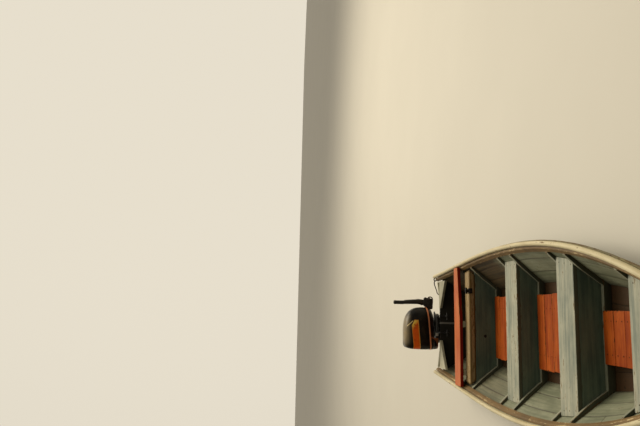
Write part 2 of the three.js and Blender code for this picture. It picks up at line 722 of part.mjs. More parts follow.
// Tiller: a bracket with two round ears in front of the lower cowl, and the handle that folds between them
const tillerY = -TILLER.ahead;
const fork = cut(
  joined(
    box(-24, 24, tillerY, -150, TILLER.z - 32, TILLER.z - 6),
    rod("x", TILLER.knuckle, -24, 24, 24).translate(0, tillerY, TILLER.z),
  ),
  box(-13, 13, tillerY - 60, tillerY + 36, TILLER.z - 60, TILLER.z + 60),
  rod("x", 5 + PIVOT_PLAY, -30, 30, 12).translate(0, tillerY, TILLER.z),
);
const lowerGap = lowerCowl.clone().translate(0, -SEAM, 0);
add("tiller_bracket", cut(fork, lowerCowl, lowerGap), "cowl", motor);
const armFrom = TILLER.knuckle + 6;
const armTo = TILLER.length - TILLER.grip;
const arm = new THREE.CylinderGeometry(15, 20, armTo - armFrom, 18);
arm.rotateX(Math.PI / 2).translate(0, tillerY, TILLER.z + (armFrom + armTo) / 2);
const handle = joined(
  rod("x", 5, -23, 23, 12).translate(0, tillerY, TILLER.z),
  rod("x", TILLER.knuckle - 6, -9, 9, 24).translate(0, tillerY, TILLER.z),
  box(-9, 9, tillerY - 14, tillerY + 14, TILLER.z, TILLER.z + armFrom + 2),
  arm,
);
add("tiller_handle", handle, "cowl", motor);
const grip = rod("z", 17, TILLER.z + armTo + SEAM, TILLER.z + TILLER.length, 16);
add("tiller_grip", grip.translate(0, tillerY, 0), "rubber", motor);

export default group;
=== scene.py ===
"""Finish for an open wooden boat and the tiller outboard on its transom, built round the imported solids.

Metres throughout: +X is port, +Y is aft, +Z is up, and z = 0 is the waterline. Along the boat, s is the
length forward of the rail ends, and u the share of the way from there to the stem. Colours are screen
colours, 0 to 255.
"""

import bmesh
import bpy
import numpy as np
from mathutils import Matrix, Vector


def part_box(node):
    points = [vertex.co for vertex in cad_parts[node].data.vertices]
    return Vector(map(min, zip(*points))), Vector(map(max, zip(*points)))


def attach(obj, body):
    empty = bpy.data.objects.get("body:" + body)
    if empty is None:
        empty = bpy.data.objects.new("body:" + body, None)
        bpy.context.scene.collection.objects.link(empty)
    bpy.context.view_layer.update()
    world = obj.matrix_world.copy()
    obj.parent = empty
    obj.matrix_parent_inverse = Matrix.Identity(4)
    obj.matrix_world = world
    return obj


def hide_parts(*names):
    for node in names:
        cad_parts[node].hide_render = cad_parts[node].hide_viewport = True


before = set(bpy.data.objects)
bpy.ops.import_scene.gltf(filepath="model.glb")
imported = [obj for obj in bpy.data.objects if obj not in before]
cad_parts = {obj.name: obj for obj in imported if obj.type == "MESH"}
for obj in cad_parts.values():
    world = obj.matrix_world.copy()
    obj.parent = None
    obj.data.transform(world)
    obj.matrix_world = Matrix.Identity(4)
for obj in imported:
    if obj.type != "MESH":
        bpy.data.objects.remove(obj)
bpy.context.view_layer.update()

# Camera. It stands two metres ahead of the bow and as far above the water, looks aft and a little down, and
# is turned on its side, so that up in the boat is to the left in the picture.
CAMERA_AT = (0.139, -4.306, 2.0075)
FOCAL_PX = 622.0
PICTURE_LONG_PX = 640
HORIZON_PX = 42.0  # how far the horizon is from the picture's middle
YAW, ROLL, HEEL = 0.1512, 0.0152, -0.0161  # radians


def add_object(name, data):
    """Puts an object into the scene, at the origin."""
    made = bpy.data.objects.new(name, data)
    bpy.context.scene.collection.objects.link(made)
    return made


pitch = np.arctan(HORIZON_PX / FOCAL_PX)
forward = np.array([np.sin(YAW) * np.cos(pitch), np.cos(YAW) * np.cos(pitch), -np.sin(pitch)])
level = np.array([np.cos(YAW), -np.sin(YAW), 0.0])
down = np.cross(forward, level)
right = np.cos(ROLL) * level - np.sin(ROLL) * down
down = np.sin(ROLL) * level + np.cos(ROLL) * down
heeled = np.array([[np.cos(HEEL), 0, np.sin(HEEL)], [0, 1, 0], [-np.sin(HEEL), 0, np.cos(HEEL)]])
axes = np.stack([down, right, -forward], axis=1)

camera_data = bpy.data.cameras.new("camera")
camera_data.sensor_width = 36.0
camera_data.lens = FOCAL_PX / PICTURE_LONG_PX * camera_data.sensor_width
camera_data.clip_start = 0.05
camera_data.clip_end = 200.0
camera = add_object("camera", camera_data)
camera.matrix_world = Matrix.Translation(CAMERA_AT) @ Matrix((heeled @ axes).tolist()).to_4x4()
bpy.context.scene.camera = camera

# Studio light: a pale dome that is bright behind the stern and to port and dim behind the bow, one broad lamp
# high on the same side, and weak broad lamps overhead and over the bow. Faces towards the bow stay in shade.
bpy.context.scene.view_settings.view_transform = "Standard"
WARM_WHITE = (1.0, 0.92, 0.76)
LAMPS = [
    # name, place, aimed at, size, watts, colour
    ("sky_lamp", (6.0, 9.0, 12.0), (0.0, 0.4, 0.1), 11.0, 1750.0, WARM_WHITE),
    ("top_lamp", (0.5, 0.0, 7.0), (0.0, 0.0, 0.0), 5.0, 60.0, (1.0, 0.94, 0.80)),
    ("bow_lamp", (2.5, -7.0, 4.0), (0.0, 0.0, 0.1), 5.0, 30.0, (1.0, 0.92, 0.78)),
]
for name, place, aim, size, watts, colour in LAMPS:
    lamp_data = bpy.data.lights.new(name, "AREA")
    lamp_data.shape = "DISK"
    lamp_data.size = size
    lamp_data.energy = watts
    lamp_data.color = colour
    back = np.subtract(place, aim)
    back /= np.linalg.norm(back)
    side = np.cross((0.0, 0.0, 1.0), back)
    side /= np.linalg.norm(side)
    facing = Matrix(np.stack([side, np.cross(back, side), back], axis=1).tolist()).to_4x4()
    add_object(name, lamp_data).matrix_world = Matrix.Translation(place) @ facing

BRIGHT_WAY = (0.42, 0.90, 0.10)
world = bpy.data.worlds.new("dome")
world.use_nodes = True
sky = world.node_tree
heading = sky.nodes.new("ShaderNodeTexCoord")
towards = sky.nodes.new("ShaderNodeVectorMath")
towards.operation = "DOT_PRODUCT"
towards.inputs[1].default_value = BRIGHT_WAY
glow = sky.nodes.new("ShaderNodeMapRange")
glow.interpolation_type = "SMOOTHSTEP"
for key, value in (("From Min", -0.35), ("From Max", 0.95), ("To Min", 0.10), ("To Max", 0.80)):
    glow.inputs[key].default_value = value
sky.links.new(heading.outputs["Generated"], towards.inputs[0])
sky.links.new(towards.outputs["Value"], glow.inputs["Value"])
sky.links.new(glow.outputs["Result"], sky.nodes["Background"].inputs["Strength"])
sky.nodes["Background"].inputs["Color"].default_value = (*WARM_WHITE, 1.0)
bpy.context.scene.world = world

# Lower side planks, the first of three strakes a side, sawn from broad boards and planed at the edges. They
# are nailed to the frames, red brown outside and grey green inside, and both colours are rubbed and stained.
RAIL_LENGTH = 4.72
CHINE_START, CHINE_END = 0.08, 4.33  # s
TRANSOM_AT = 0.0212  # u
PLANK = 0.022  # how thick the planking is
SEAM = 0.0004  # the joint between pieces that bear on each other
HULL_LINES = np.array([
    # half breadth and height of the sheer, half breadth of the chine, height of the keel, in millimetres
    (510, 304, 292, -78),
    (557, 278, 326, -80),
    (603, 259, 358, -80),
    (637, 249, 380, -80),
    (649, 246, 389, -80),
    (633, 251, 387, -80),
    (584, 264, 368, -79),
    (497, 286, 325, -75),
    (370, 315, 255, -65),
    (205, 352, 158, -45),
    (36, 397, 36, -10),
]) / 1000


def curve_through(table, place):
    """Points on a curve through a table's rows, where place counts rows: a cubic between each two rows.

    The slope at a row is half the step from the row before to the row after, and past each end the table is
    carried on in a straight line.
    """
    padded = np.vstack([2 * table[0] - table[1], table, 2 * table[-1] - table[-2]])
    cell = np.minimum(place.astype(int), len(table) - 2)
    p = (place - cell)[..., None]
    a, b, c, d = (padded[cell + k] for k in range(4))
    return b + p / 2 * (c - a + p * (2 * a - 5 * b + 4 * c - d + p * (3 * (b - c) + d - a)))


def hull_lines(u):
    """The four lines at u, on a curve through the stations."""
    place = np.clip(np.asarray(u, float), 0, 1) * (len(HULL_LINES) - 1)
    return np.moveaxis(curve_through(HULL_LINES, place), -1, 0)


def y_at(s):
    """The place along y from the length forward of the rail ends."""
    return RAIL_LENGTH / 2 - s


def points_of(x, y, z):
    """Points (..., 3) from x, y and z, each an array or one value for all of them."""
    return np.stack(np.broadcast_arrays(x, y, z), axis=-1)


def side_point(u, up):
    """A point of the planking's outer face, on a straight line from the chine, up = 0, to the sheer, 1."""
    sheer_half, sheer_z, chine_half, keel_z = hull_lines(u)
    chine_s = CHINE_START + (CHINE_END - CHINE_START) * u
    s = chine_s + (RAIL_LENGTH * u - chine_s) * up
    low = keel_z + PLANK
    return points_of(chine_half + (sheer_half - chine_half) * up, y_at(s), low + (sheer_z - low) * up)


def eased(corners, radius, reach=0.012):
    """Rounds the corners of closed outlines (..., N, 3) to (..., 6N, 3), and gives the points' edge shares.

    Each corner becomes a quadratic curve from radius before it to radius past it, in four points, and a
    point further out each way, at reach, where the edge share is back to 0. A corner that hardly turns has
    no share.
    """
    before = np.roll(corners, 1, axis=-2) - corners
    after = np.roll(corners, -1, axis=-2) - corners
    before_length = np.linalg.norm(before, axis=-1, keepdims=True)
    after_length = np.linalg.norm(after, axis=-1, keepdims=True)
    near = np.minimum(radius, 0.3 * np.minimum(before_length, after_length))
    start, end = before / before_length * near, after / after_length * near
    points = [corners + before / before_length * np.minimum(reach, 0.45 * before_length)]
    points += [corners + start * (1 - t) ** 2 + end * t**2 for t in (0, 1 / 3, 2 / 3, 1)]
    points += [corners + after / after_length * np.minimum(reach, 0.45 * after_length)]
    outline = np.stack(points, axis=-2)
    cosine = -np.sum(before * after, axis=-1) / (before_length * after_length)[..., 0]
    turns = np.clip((1 - cosine.reshape(-1, corners.shape[-2]).mean(0)) / 0.1, 0, 1)
    shares = (turns[:, None] * [0.0, 0.8, 1.0, 1.0, 0.8, 0.0]).ravel()
    return outline.reshape(*corners.shape[:-2], -1, 3), shares


def eased_ends(rings, radius, reach=0.012):
    """Rounds both ends of rings (M, K, 3), and gives the rings' edge shares."""
    def end(first, second):
        """The rings of one end: on a quarter circle from the end face to the side, then one at reach."""
        length = np.linalg.norm(second.mean(0) - first.mean(0))
        along = (second - first) / length
        inward = first.mean(0) - first
        inward /= np.linalg.norm(inward, axis=1, keepdims=True) + 1e-9
        arcs = np.radians([0, 30, 60, 90])
        curve = [first + inward * radius * (1 - np.sin(a)) + along * radius * (1 - np.cos(a)) for a in arcs]
        return curve + [first + along * min(reach, 0.5 * length)]

    head, tail = end(rings[0], rings[1]), end(rings[-1], rings[-2])
    shares = [1.0, 1.0, 1.0, 0.8, 0.0] + [0.0] * (len(rings) - 2) + [0.0, 0.8, 1.0, 1.0, 1.0]
    return np.array(head + list(rings[1:-1]) + tail[::-1]), np.array(shares)


def shell_of(rings, ring_shares=0.0, point_shares=0.0, shift=0.0):
    """A closed shell through rings (M, K, 3) with a fan over each end: points, faces, UVs and edge shares.

    UV is metres along and metres around; shift moves the pattern, so that like pieces differ. The sum of
    the triple products of the faces' corners, six times the volume, tells whether to turn the faces over.
    """
    count, around = rings.shape[:2]
    points = np.vstack([rings.reshape(-1, 3), rings[0].mean(0), rings[-1].mean(0)])
    steps = np.linalg.norm(np.diff(rings.mean(1), axis=0), axis=1)
    along = np.concatenate([[0], np.cumsum(steps)]) + shift
    closed = np.concatenate([rings, rings[:, :1]], axis=1)
    girth = np.concatenate([[0], np.cumsum(np.linalg.norm(np.diff(closed, axis=1), axis=2).mean(0))]) + shift
    i, j = np.meshgrid(np.arange(count - 1), np.arange(around), indexing="ij")
    first, second = i * around + j, i * around + (j + 1) % around
    quads = np.stack([first, second, second + around, first + around], -1).reshape(-1, 4)
    quad_uv = np.stack([
        np.stack([along[i], along[i], along[i + 1], along[i + 1]], -1),
        np.stack([girth[j], girth[j + 1], girth[j + 1], girth[j]], -1),
    ], -1).reshape(-1, 2)
    ring = np.arange(around)
    ahead = (ring + 1) % around
    last = (count - 1) * around
    fans = np.vstack([
        np.stack([ahead, ring, np.full(around, count * around)], -1),
        np.stack([last + ring, last + ahead, np.full(around, count * around + 1)], -1),
    ])
    flat = points[fans.ravel()] - points[fans.ravel()].mean(0)
    fan_uv = flat[:, np.argsort(-np.ptp(rings[0], axis=0))[:2]] + shift
    shares = np.maximum(np.reshape(ring_shares, (-1, 1)), np.reshape(point_shares, (1, -1)))
    shares = np.append(np.broadcast_to(shares, (count, around)), [0.6, 0.6])
    volume = sum(
        np.einsum("ij,ij->i", points[cut[:, 0]], np.cross(points[cut[:, k]], points[cut[:, k + 1]])).sum()
        for cut, k in ((quads, 1), (quads, 2), (fans, 1))
    )
    if volume < 0:
        quads, quad_uv = quads[:, ::-1], quad_uv.reshape(-1, 4, 2)[:, ::-1].reshape(-1, 2)
        fans, fan_uv = fans[:, ::-1], fan_uv.reshape(-1, 3, 2)[:, ::-1].reshape(-1, 2)
    return points, quads, fans, np.vstack([quad_uv, fan_uv]), shares


def rounded(corners, radius, end_radius=None, shift=0.0, reach=0.012):
    """A closed shell through outlines (M, N, 3), rounded at their corners and at both ends."""
    outline, shares = eased(corners, radius, reach)
    rings, ring_shares = eased_ends(outline, end_radius or radius)
    return shell_of(rings, ring_shares, shares, shift)


def add_piece(name, mesh, finish, body, stands_for, crisp):
    """Smooths a mesh but for turns over crisp degrees, gives it its finish and rides it on its body."""
    mesh.materials.clear()
    mesh.materials.append(finish)
    mesh.shade_smooth()
    mesh.set_sharp_from_angle(angle=np.radians(crisp))
    made = add_object(name, mesh)
    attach(made, body)
    if stands_for:
        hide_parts(stands_for)
    return made


def add_share(mesh, name, values):
    """Gives every point of a mesh a value of its own, for the finish to read."""
    attribute = mesh.attributes.new(name, "FLOAT", "POINT")
    attribute.data.foreach_set("value", np.concatenate(values).astype(np.float32))


def make_piece(name, shells, finish, body="hull", stands_for=None, crisp=50):
    """Puts closed shells into one mesh, with their UVs and edge shares, and adds it."""
    points, faces, start = [], [], 0
    for shell_points, quads, fans, _, _ in shells:
        points.append(shell_points)
        faces += (quads + start).tolist() + (fans + start).tolist()
        start += len(shell_points)
    mesh = bpy.data.meshes.new(name)
    mesh.from_pydata(np.vstack(points).tolist(), [], faces)
    uvs = np.vstack([shell[3] for shell in shells]).astype(np.float32)
    mesh.uv_layers.new(name="grain").data.foreach_set("uv", uvs.ravel())
    add_share(mesh, "edge", [shell[4] for shell in shells])
    return add_piece(name, mesh, finish, body, stands_for, crisp)


def shade_faces(made, shells, spans, around=24, caps=1.0):
    """Gives points their inner share: 1, but 0 from a span's first point of each ring to before its last.

    There is a span for every shell, and caps is the share in the middle of both ends. On a strake a share of
    0 marks the outer face; on a seat or a frame it marks the forward face, which gets painted shade.
    """
    shares = []
    for shell, (first, last) in zip(shells, spans):
        ring = np.ones(around)
        ring[first:last] = 0.0
        shares += [np.tile(ring, len(shell[0]) // around), [caps, caps]]
    add_share(made.data, "inner_or_lit", shares)


def paint(colour, strength=1.0):
    """A screen colour, 0 to 255, in the linear values that a shader takes, each times strength."""
    share = np.array(colour) / 255
    linear = np.where(share <= 0.04045, share / 12.92, ((share + 0.055) / 1.055) ** 2.4)
    return (*(linear * strength).tolist(), 1.0)


def add_node(tree, kind, settings, inputs, out=0):
    """Adds a node: its settings first, then a value or a link for each of its sockets."""
    node = tree.nodes.new(kind)
    for key, value in settings.items():
        setattr(node, key, value)
    for key, value in inputs.items():
        if isinstance(value, Tone):
            tree.links.new(value.socket, node.inputs[key])
        else:
            node.inputs[key].default_value = value
    return Tone(tree, node.outputs[out])


class Tone:
    """A socket of a material's nodes. Arithmetic on it adds Math nodes."""

    def __init__(self, tree, socket):
        self.tree, self.socket = tree, socket

    def math(self, operation, *values):
        """The outcome of an operation on values."""
        return add_node(self.tree, "ShaderNodeMath", {"operation": operation}, dict(enumerate(values)))

    def __add__(self, other):
        return self.math("ADD", self, other)

    def __sub__(self, other):
        return self.math("SUBTRACT", self, other)

    def __rsub__(self, other):
        return self.math("SUBTRACT", other, self)

    def __mul__(self, other):
        return self.math("MULTIPLY", self, other)

    def __abs__(self):
        return self.math("ABSOLUTE", self)

    __radd__, __rmul__ = __add__, __mul__

    def distance(self, other):
        """The root of the sum of the two squares."""
        return self.math("SQRT", self * self + other * other)

    def within(self, low, high):
        """0 below low, 1 above high and a smooth step between, or the other way round if low is above."""
        ends = (low, high, 0.0, 1.0) if low < high else (high, low, 1.0, 0.0)
        inputs = {"Value": self, **dict(zip(("From Min", "From Max", "To Min", "To Max"), ends))}
        return add_node(self.tree, "ShaderNodeMapRange", {"interpolation_type": "SMOOTHSTEP"}, inputs)

    def tint(self, low, high):
        """A colour between low and high, by this value: screen colours, colours from paint, or Tones."""
        low, high = (end if isinstance(end, Tone) or len(end) == 4 else paint(end) for end in (low, high))
        settings = {"data_type": "RGBA", "clamp_factor": True}
        return add_node(self.tree, "ShaderNodeMix", settings, {0: self, 6: low, 7: high}, 2)


class Finish:
    """A material being mixed. Constants go straight onto the shader's sockets."""

    def __init__(self, name, **constants):
        self.material = bpy.data.materials.new(name)
        self.material.use_nodes = True
        self.tree = self.material.node_tree
        self.shader = self.tree.nodes["Principled BSDF"]
        for key, value in constants.items():
            self.shader.inputs[key.replace("_", " ")].default_value = value

    def node(self, kind, settings, inputs, out=0):
        """A node of this material."""
        return add_node(self.tree, kind, settings, inputs, out)

    def place(self, scale=(1.0, 1.0, 1.0), along_grain=False):
        """Object coordinates, or the piece's own metres along and around it, scaled."""
        if along_grain:
            where = self.node("ShaderNodeUVMap", {"uv_map": "grain"}, {})
        else:
            where = self.node("ShaderNodeTexCoord", {}, {}, "Object")
        return self.node("ShaderNodeMapping", {}, {"Vector": where, "Scale": scale})

    def axes(self):
        """The object's x, y and z."""
        split = self.node("ShaderNodeSeparateXYZ", {}, {0: self.place()}).socket.node
        return [Tone(self.tree, output) for output in split.outputs]

    def noise(self, where, scale=1.0, detail=4.0, roughness=0.55):
        """A cloudy pattern round 0.5, finer with scale."""
        inputs = {"Vector": where, "Scale": scale, "Detail": detail, "Roughness": roughness}
        return self.node("ShaderNodeTexNoise", {}, inputs)

    def share(self, name):
        """A value that the mesh keeps for every point."""
        return self.node("ShaderNodeAttribute", {"attribute_name": name}, {}, "Fac")

    def feed(self, bump=None, depth=0.0, **tones):
        """Links tones to the shader's sockets, and a bump of the given depth to its normal."""
        for key, tone in tones.items():
            self.tree.links.new(tone.socket, self.shader.inputs[key.replace("_", " ")])
        if bump is not None:
            raised = self.node("ShaderNodeBump", {}, {"Height": bump, "Distance": depth, "Strength": 1.0})
            self.tree.links.new(raised.socket, self.shader.inputs["Normal"])
        return self.material


def painted_wood(name, coat, faded, timber, bare=0.5, grime=0.5, rough=0.55, gloss=0.28, rubbed=0.17,
                 dirt=(92, 80, 56), low=-0.05, grain=None, outside_or_shade=None, under=None, knot=None, butt=None,
                 dark_seams=0.0, stained_from=None):
    """Old paint on sawn timber. Coat and faded are the paint's darker and lighter colour, timber the wood's.

    Bare is how much paint has worn off, rubbed how far the edges are worn, and grime how much dirt lies in
    the grain and below the height low, where the wood is dark with damp. Rough is the paint's roughness and
    gloss its specular level. Grain is the axis that the pattern follows, or else it follows the piece.
    Outside_or_shade is coat and faded where the piece's inner_or_lit share is 0: the outer face of a strake,
    and painted shade on the forward face of a seat or a frame. Under is a deeper colour and the height that
    it ends at, knot a dark knot's x, z and radius, and butt a joint's place along y. Dark_seams is how dark
    the edges are, and stained_from where along y the inside turns brown, most to port.
    """
    made = Finish(name, Specular_IOR_Level=gloss)

    def at(along, across):
        """Places scaled along the grain and across it."""
        if grain:
            return made.place([along if axis == grain else across for axis in "xyz"])
        return made.place((along, across, 1), along_grain=True)

    if outside_or_shade:
        inner_or_lit = made.share("inner_or_lit")
        coat, faded = (inner_or_lit.tint(out, ins) for out, ins in zip(outside_or_shade, (coat, faded)))
    streak = made.noise(at(1.6, 42), detail=5)
    fibre = made.noise(at(9, 330), detail=3, roughness=0.6)
    blotch = made.noise(at(3.1, 6.5), detail=5, roughness=0.6)
    chip = made.noise(at(16, 60), detail=8, roughness=0.72)
    scuff = made.noise(made.place((7, 7, 7)), detail=6, roughness=0.65)
    edge = made.share("edge")
    wear = chip + (streak - 0.5) * 0.35 + (blotch - 0.5) * 0.5 + edge * (rubbed * (0.5 + bare))
    worn = wear.within(0.78 - 0.2 * bare, 0.82 - 0.2 * bare)
    rim = wear.within(0.74 - 0.2 * bare, 0.79 - 0.2 * bare)
    body = (blotch * 0.38 + streak * 0.37 + fibre * 0.15 + scuff * 0.1).within(0.38, 0.62)
    dull = (scuff * 0.6 + streak * 0.4).within(0.52, 0.72) * (0.55 * grime)
    dusty = dull.tint(body.tint(coat, faded), dirt)
    wood = streak.within(0.35, 0.65).tint(paint(timber, 0.62), paint(timber))
    crosswise, lengthwise, height = made.axes()
    if under:
        deep, edge_z = under
        deeper = body.tint(paint(deep, 0.7), paint(deep, 1.25))
        over = (height + (chip - 0.5) * 0.004).within(edge_z - 0.0015, edge_z + 0.0015)
        dusty = over.tint(deeper, dusty)
    if knot:
        knot_x, knot_z, radius = knot
        away = (crosswise - knot_x).distance(height - knot_z) + (chip - 0.5) * 0.01
        dusty = away.within(radius, radius * 0.6).tint(dusty, (20, 18, 12))
    if butt is not None:
        from_butt = abs(lengthwise - butt)
        worn = worn * from_butt.within(0.0008, 0.0016)
        dusty = from_butt.within(0.0016, 0.0008).tint(dusty, (40, 30, 18))
    colour = worn.tint(rim.tint(dusty, paint(timber, 0.8)), wood)
    if dark_seams:
        seam_dirt = inner_or_lit.tint((10, 14, 8), (52, 48, 34)) if outside_or_shade else (52, 48, 34)
        colour = (edge.within(0.45, 0.95) * dark_seams).tint(colour, seam_dirt)
    if stained_from is not None:
        aft = (lengthwise + (scuff - 0.5) * 0.5).within(stained_from, stained_from + 0.3) * inner_or_lit
        brown = streak.within(0.35, 0.65).tint((46, 26, 6), (84, 58, 26))
        colour = (aft * (crosswise.within(-0.2, 0.2) * 0.5 + 0.32)).tint(colour, brown)
    damp = (height + (scuff - 0.5) * 0.12).within(low + 0.06, low - 0.03) * (0.75 * grime)
    colour = damp.tint(colour, (58, 48, 32))
    relief = (1 - worn) * 0.5 + fibre * 0.35 + streak * 0.5 + blotch * 0.6
    return made.feed(relief, 0.0011, Base_Color=colour, Roughness=worn * 0.2 + scuff * 0.25 + (rough - 0.1))


INSIDE = (108, 112, 88), (148, 150, 124), (104, 92, 58)
GREEN = (38, 62, 44), (70, 94, 68)
RED_BROWN = (92, 34, 22), (126, 62, 42)
PLANK_STATIONS = 72
SIDES = (("port", 1), ("starboard", -1))
LOWER_HEAD, MIDDLE_HEAD = 0.32, 0.66  # how far up the side a strake ends


def add_strake(name, low, high, outside_or_shade, start=TRANSOM_AT, end=1.0):
    """Both planks of a strake: its outline at u runs between the points low and high up the side."""
    finish = painted_wood(name + "_paint", *INSIDE, bare=0.44, grime=0.85, outside_or_shade=outside_or_shade, rubbed=0.10,
                          dark_seams=0.75, stained_from=0.62)
    u = np.linspace(start, end, int(PLANK_STATIONS * (end - start)))
    foot, head = side_point(u, low), side_point(u, high)
    foot[:, 2] += SEAM if low > 0 else 0
    inward = np.array([PLANK, 0, 0])
    corners = np.stack([foot, head, head - inward, foot - inward], axis=1)
    for side, sign in SIDES:
        shell = rounded(corners * (sign, 1, 1), 0.0022, 0.002, shift=1.7 * sign + 3.1 * low, reach=0.02)
        made = make_piece(f"{name}_{side}_board", [shell], finish, stands_for=f"{name}_{side}")
        shade_faces(made, [shell], [(0, 12)], caps=0.5)


add_strake("lower_plank", 0.0, LOWER_HEAD, RED_BROWN)

# Middle and upper side planks, the same boards painted green outside. The upper ones carry the gunwale, and
# each is two lengths that meet between the third seat and the fourth.
UPPER_BUTT = 0.699  # u
add_strake("middle_plank", LOWER_HEAD, MIDDLE_HEAD, GREEN)
add_strake("aft_upper_plank", MIDDLE_HEAD, 1.0, GREEN, end=UPPER_BUTT)
add_strake("fore_upper_plank", MIDDLE_HEAD, 1.0, GREEN, start=UPPER_BUTT + 0.0001)

# Bottom planking: broad boards side by side from the transom to the stem, nailed to the floor timbers. They
# are bare and dark, partly with damp and partly with painted shade, and have a caulked seam between each two.
BOTTOM_BOARDS = 5
BOTTOM_GAP, CAULK_HALF, CAULK_FOOT, CAULK_TOP = 0.0006, 0.0016, 0.003, PLANK - 0.0035
damp_timber_and_shade = painted_wood("damp_timber_and_shade", (78, 42, 16), (104, 60, 28), (70, 42, 18), bare=0.6, grime=1.0,
                           rough=0.5, gloss=0.16, low=-0.02, dirt=(70, 38, 14))
u = TRANSOM_AT + (1 - TRANSOM_AT) * np.linspace(0, 1, PLANK_STATIONS)
_, _, chine_half, keel_z = hull_lines(u)
bottom_y = y_at(CHINE_START + (CHINE_END - CHINE_START) * u)


def outlines(*corners):
    """Outlines (M, N, 3) from N corners, each with its x, y and z along the piece, or one value for all."""
    return np.stack([points_of(*corner) for corner in corners], axis=1)


def bottom_strip(left, right, low, high):
    """Outlines of a strip of the bottom. Left and right are a share of the half breadth and metres past."""
    return outlines(*(
        (chine_half * share + aside, bottom_y, keel_z + up)
        for (share, aside), up in ((left, low), (right, low), (right, high), (left, high))
    ))


joints = 2 * np.arange(BOTTOM_BOARDS + 1) / BOTTOM_BOARDS - 1
boards = [
    bottom_strip((left, BOTTOM_GAP), (right, -BOTTOM_GAP), 0.0, PLANK - SEAM)
    for left, right in zip(joints[:-1], joints[1:])
]
shells = [rounded(board, 0.002, shift=0.9 * k) for k, board in enumerate(boards)]
make_piece("bottom_boards", shells, damp_timber_and_shade, stands_for="bottom_planking")
caulk = Finish("caulk", Roughness=0.9)
pitch_tone = caulk.noise(caulk.place(), 70, detail=5)
caulk.feed(pitch_tone, 0.0006, Base_Color=pitch_tone.tint((20, 16, 12), (58, 46, 32)))
shells = [
    shell_of(bottom_strip((joint, -CAULK_HALF), (joint, CAULK_HALF), CAULK_FOOT, CAULK_TOP)[1:-1])
    for joint in joints[1:-1]
]
make_piece("bottom_caulking", shells, caulk.material)

# Inwales, wales and caps: long square or rounded rails on both faces and on top of the upper planks, which
# run past the transom. The caps are cream and worn to the wood, and their sawn ends show.
CAP_OUT, CAP_IN, CAP_RADIUS, CAP_RISE = 0.007, 0.027, 0.017, 0.009
CAP_BUTT_Y = 1.664
RAIL_JOINT, WALE_END, INWALE_END = 2.3, RAIL_LENGTH - 0.03, 4.166  # s
RAIL_ROUND = 0.003
cap_turn = np.radians(np.linspace(0, 180, 15))
cap_round = np.stack([np.cos(cap_turn), np.sin(cap_turn)], axis=1) * CAP_RADIUS
CAP_OUTLINE = np.vstack([(CAP_OUT, SEAM), cap_round + (CAP_OUT - CAP_RADIUS, CAP_RISE), (-CAP_IN, SEAM)])
CAP_SHARES = np.concatenate([[0.2], 0.1 + 0.75 * np.sin(cap_turn) ** 3, [0.6]])
WALE_OUTLINE = np.array([
    # out from the planking, and up from the sheer
    (0.0009, -0.046), (0.026, -0.046), (0.032, -0.038), (0.026, -0.014), (0.020, -0.008), (0.0009, -0.008),
])
INWALE_OUTLINE = np.array([(-0.0229, -0.032), (-0.0229, -0.005), (-0.0409, -0.005), (-0.0409, -0.032)])


def inside_half(s, z):
    """Half the width inside the planking at s and the height z, found by eight turns of u."""
    s, z = np.broadcast_arrays(np.asarray(s, float), np.asarray(z, float))
    u = s / RAIL_LENGTH
    for _ in range(8):
        sheer_half, sheer_z, chine_half, keel_z = hull_lines(u)
        up = (z - keel_z - PLANK) / (sheer_z - keel_z - PLANK)
        start = CHINE_START * (1 - up)
        end = CHINE_END + (RAIL_LENGTH - CHINE_END) * up
        u = (s - start) / (end - start)
    sheer_half, _, chine_half, _ = hull_lines(u)
    return chine_half + (sheer_half - chine_half) * up - PLANK


rail_cream = painted_wood("rail_cream", (190, 174, 132), (218, 206, 168), (136, 108, 66), bare=0.34,
                          grime=0.35, rough=0.45, rubbed=0.08, dirt=(132, 112, 76), butt=CAP_BUTT_Y)
wale_olive = painted_wood("wale_olive", (92, 84, 50), (140, 128, 84), (112, 88, 52), bare=0.6, grime=0.7)
inwale_timber = painted_wood("inwale_timber", (98, 76, 42), (132, 104, 60), (206, 182, 134), bare=0.42,
                             grime=0.9, rubbed=0.12, dirt=(66, 50, 28))
RAILS = [
    # name, outline, s of its ends, finish, slot
    ("cap_rail", CAP_OUTLINE, 0.0, RAIL_LENGTH, rail_cream, "cap_paint"),
    ("aft_wale", WALE_OUTLINE, 0.0, RAIL_JOINT, wale_olive, "wale_paint"),
    ("fore_wale", WALE_OUTLINE, RAIL_JOINT + SEAM, WALE_END, wale_olive, "wale_paint"),
    ("aft_inwale", INWALE_OUTLINE, 0.0, RAIL_JOINT, inwale_timber, "bare_wood"),
    ("fore_inwale", INWALE_OUTLINE, RAIL_JOINT + SEAM, INWALE_END, inwale_timber, "bare_wood"),
]
for name, outline, start, end, finish, slot in RAILS:
    s = np.linspace(start, end, int(20 * (end - start)))
    sheer_half, sheer_z, _, _ = hull_lines(s / RAIL_LENGTH)
    corners = outlines(*(
        (out + (inside_half(s, sheer_z + up) + PLANK if up < 0 else sheer_half), y_at(s), sheer_z + up)
        for out, up in outline
    ))
    for side, sign in SIDES:
        path, shares = corners * (sign, 1, 1), CAP_SHARES
        if name == "cap_rail":
            # a hand-planed line: the cap wanders by about a millimetre up and down
            path[..., 2] += (0.0007 * np.sin(s * 5.1 + sign) + 0.0005 * np.sin(s * 11.3 + 2 * sign))[:, None]
        else:
            path, shares = eased(path, RAIL_ROUND)
        rings, ring_shares = eased_ends(path, RAIL_ROUND)
        shell = shell_of(rings, ring_shares, shares, shift=2.3 * sign)
        make_piece(f"{name}_{side}_rail", [shell], finish, stands_for=f"{name}_{side}")
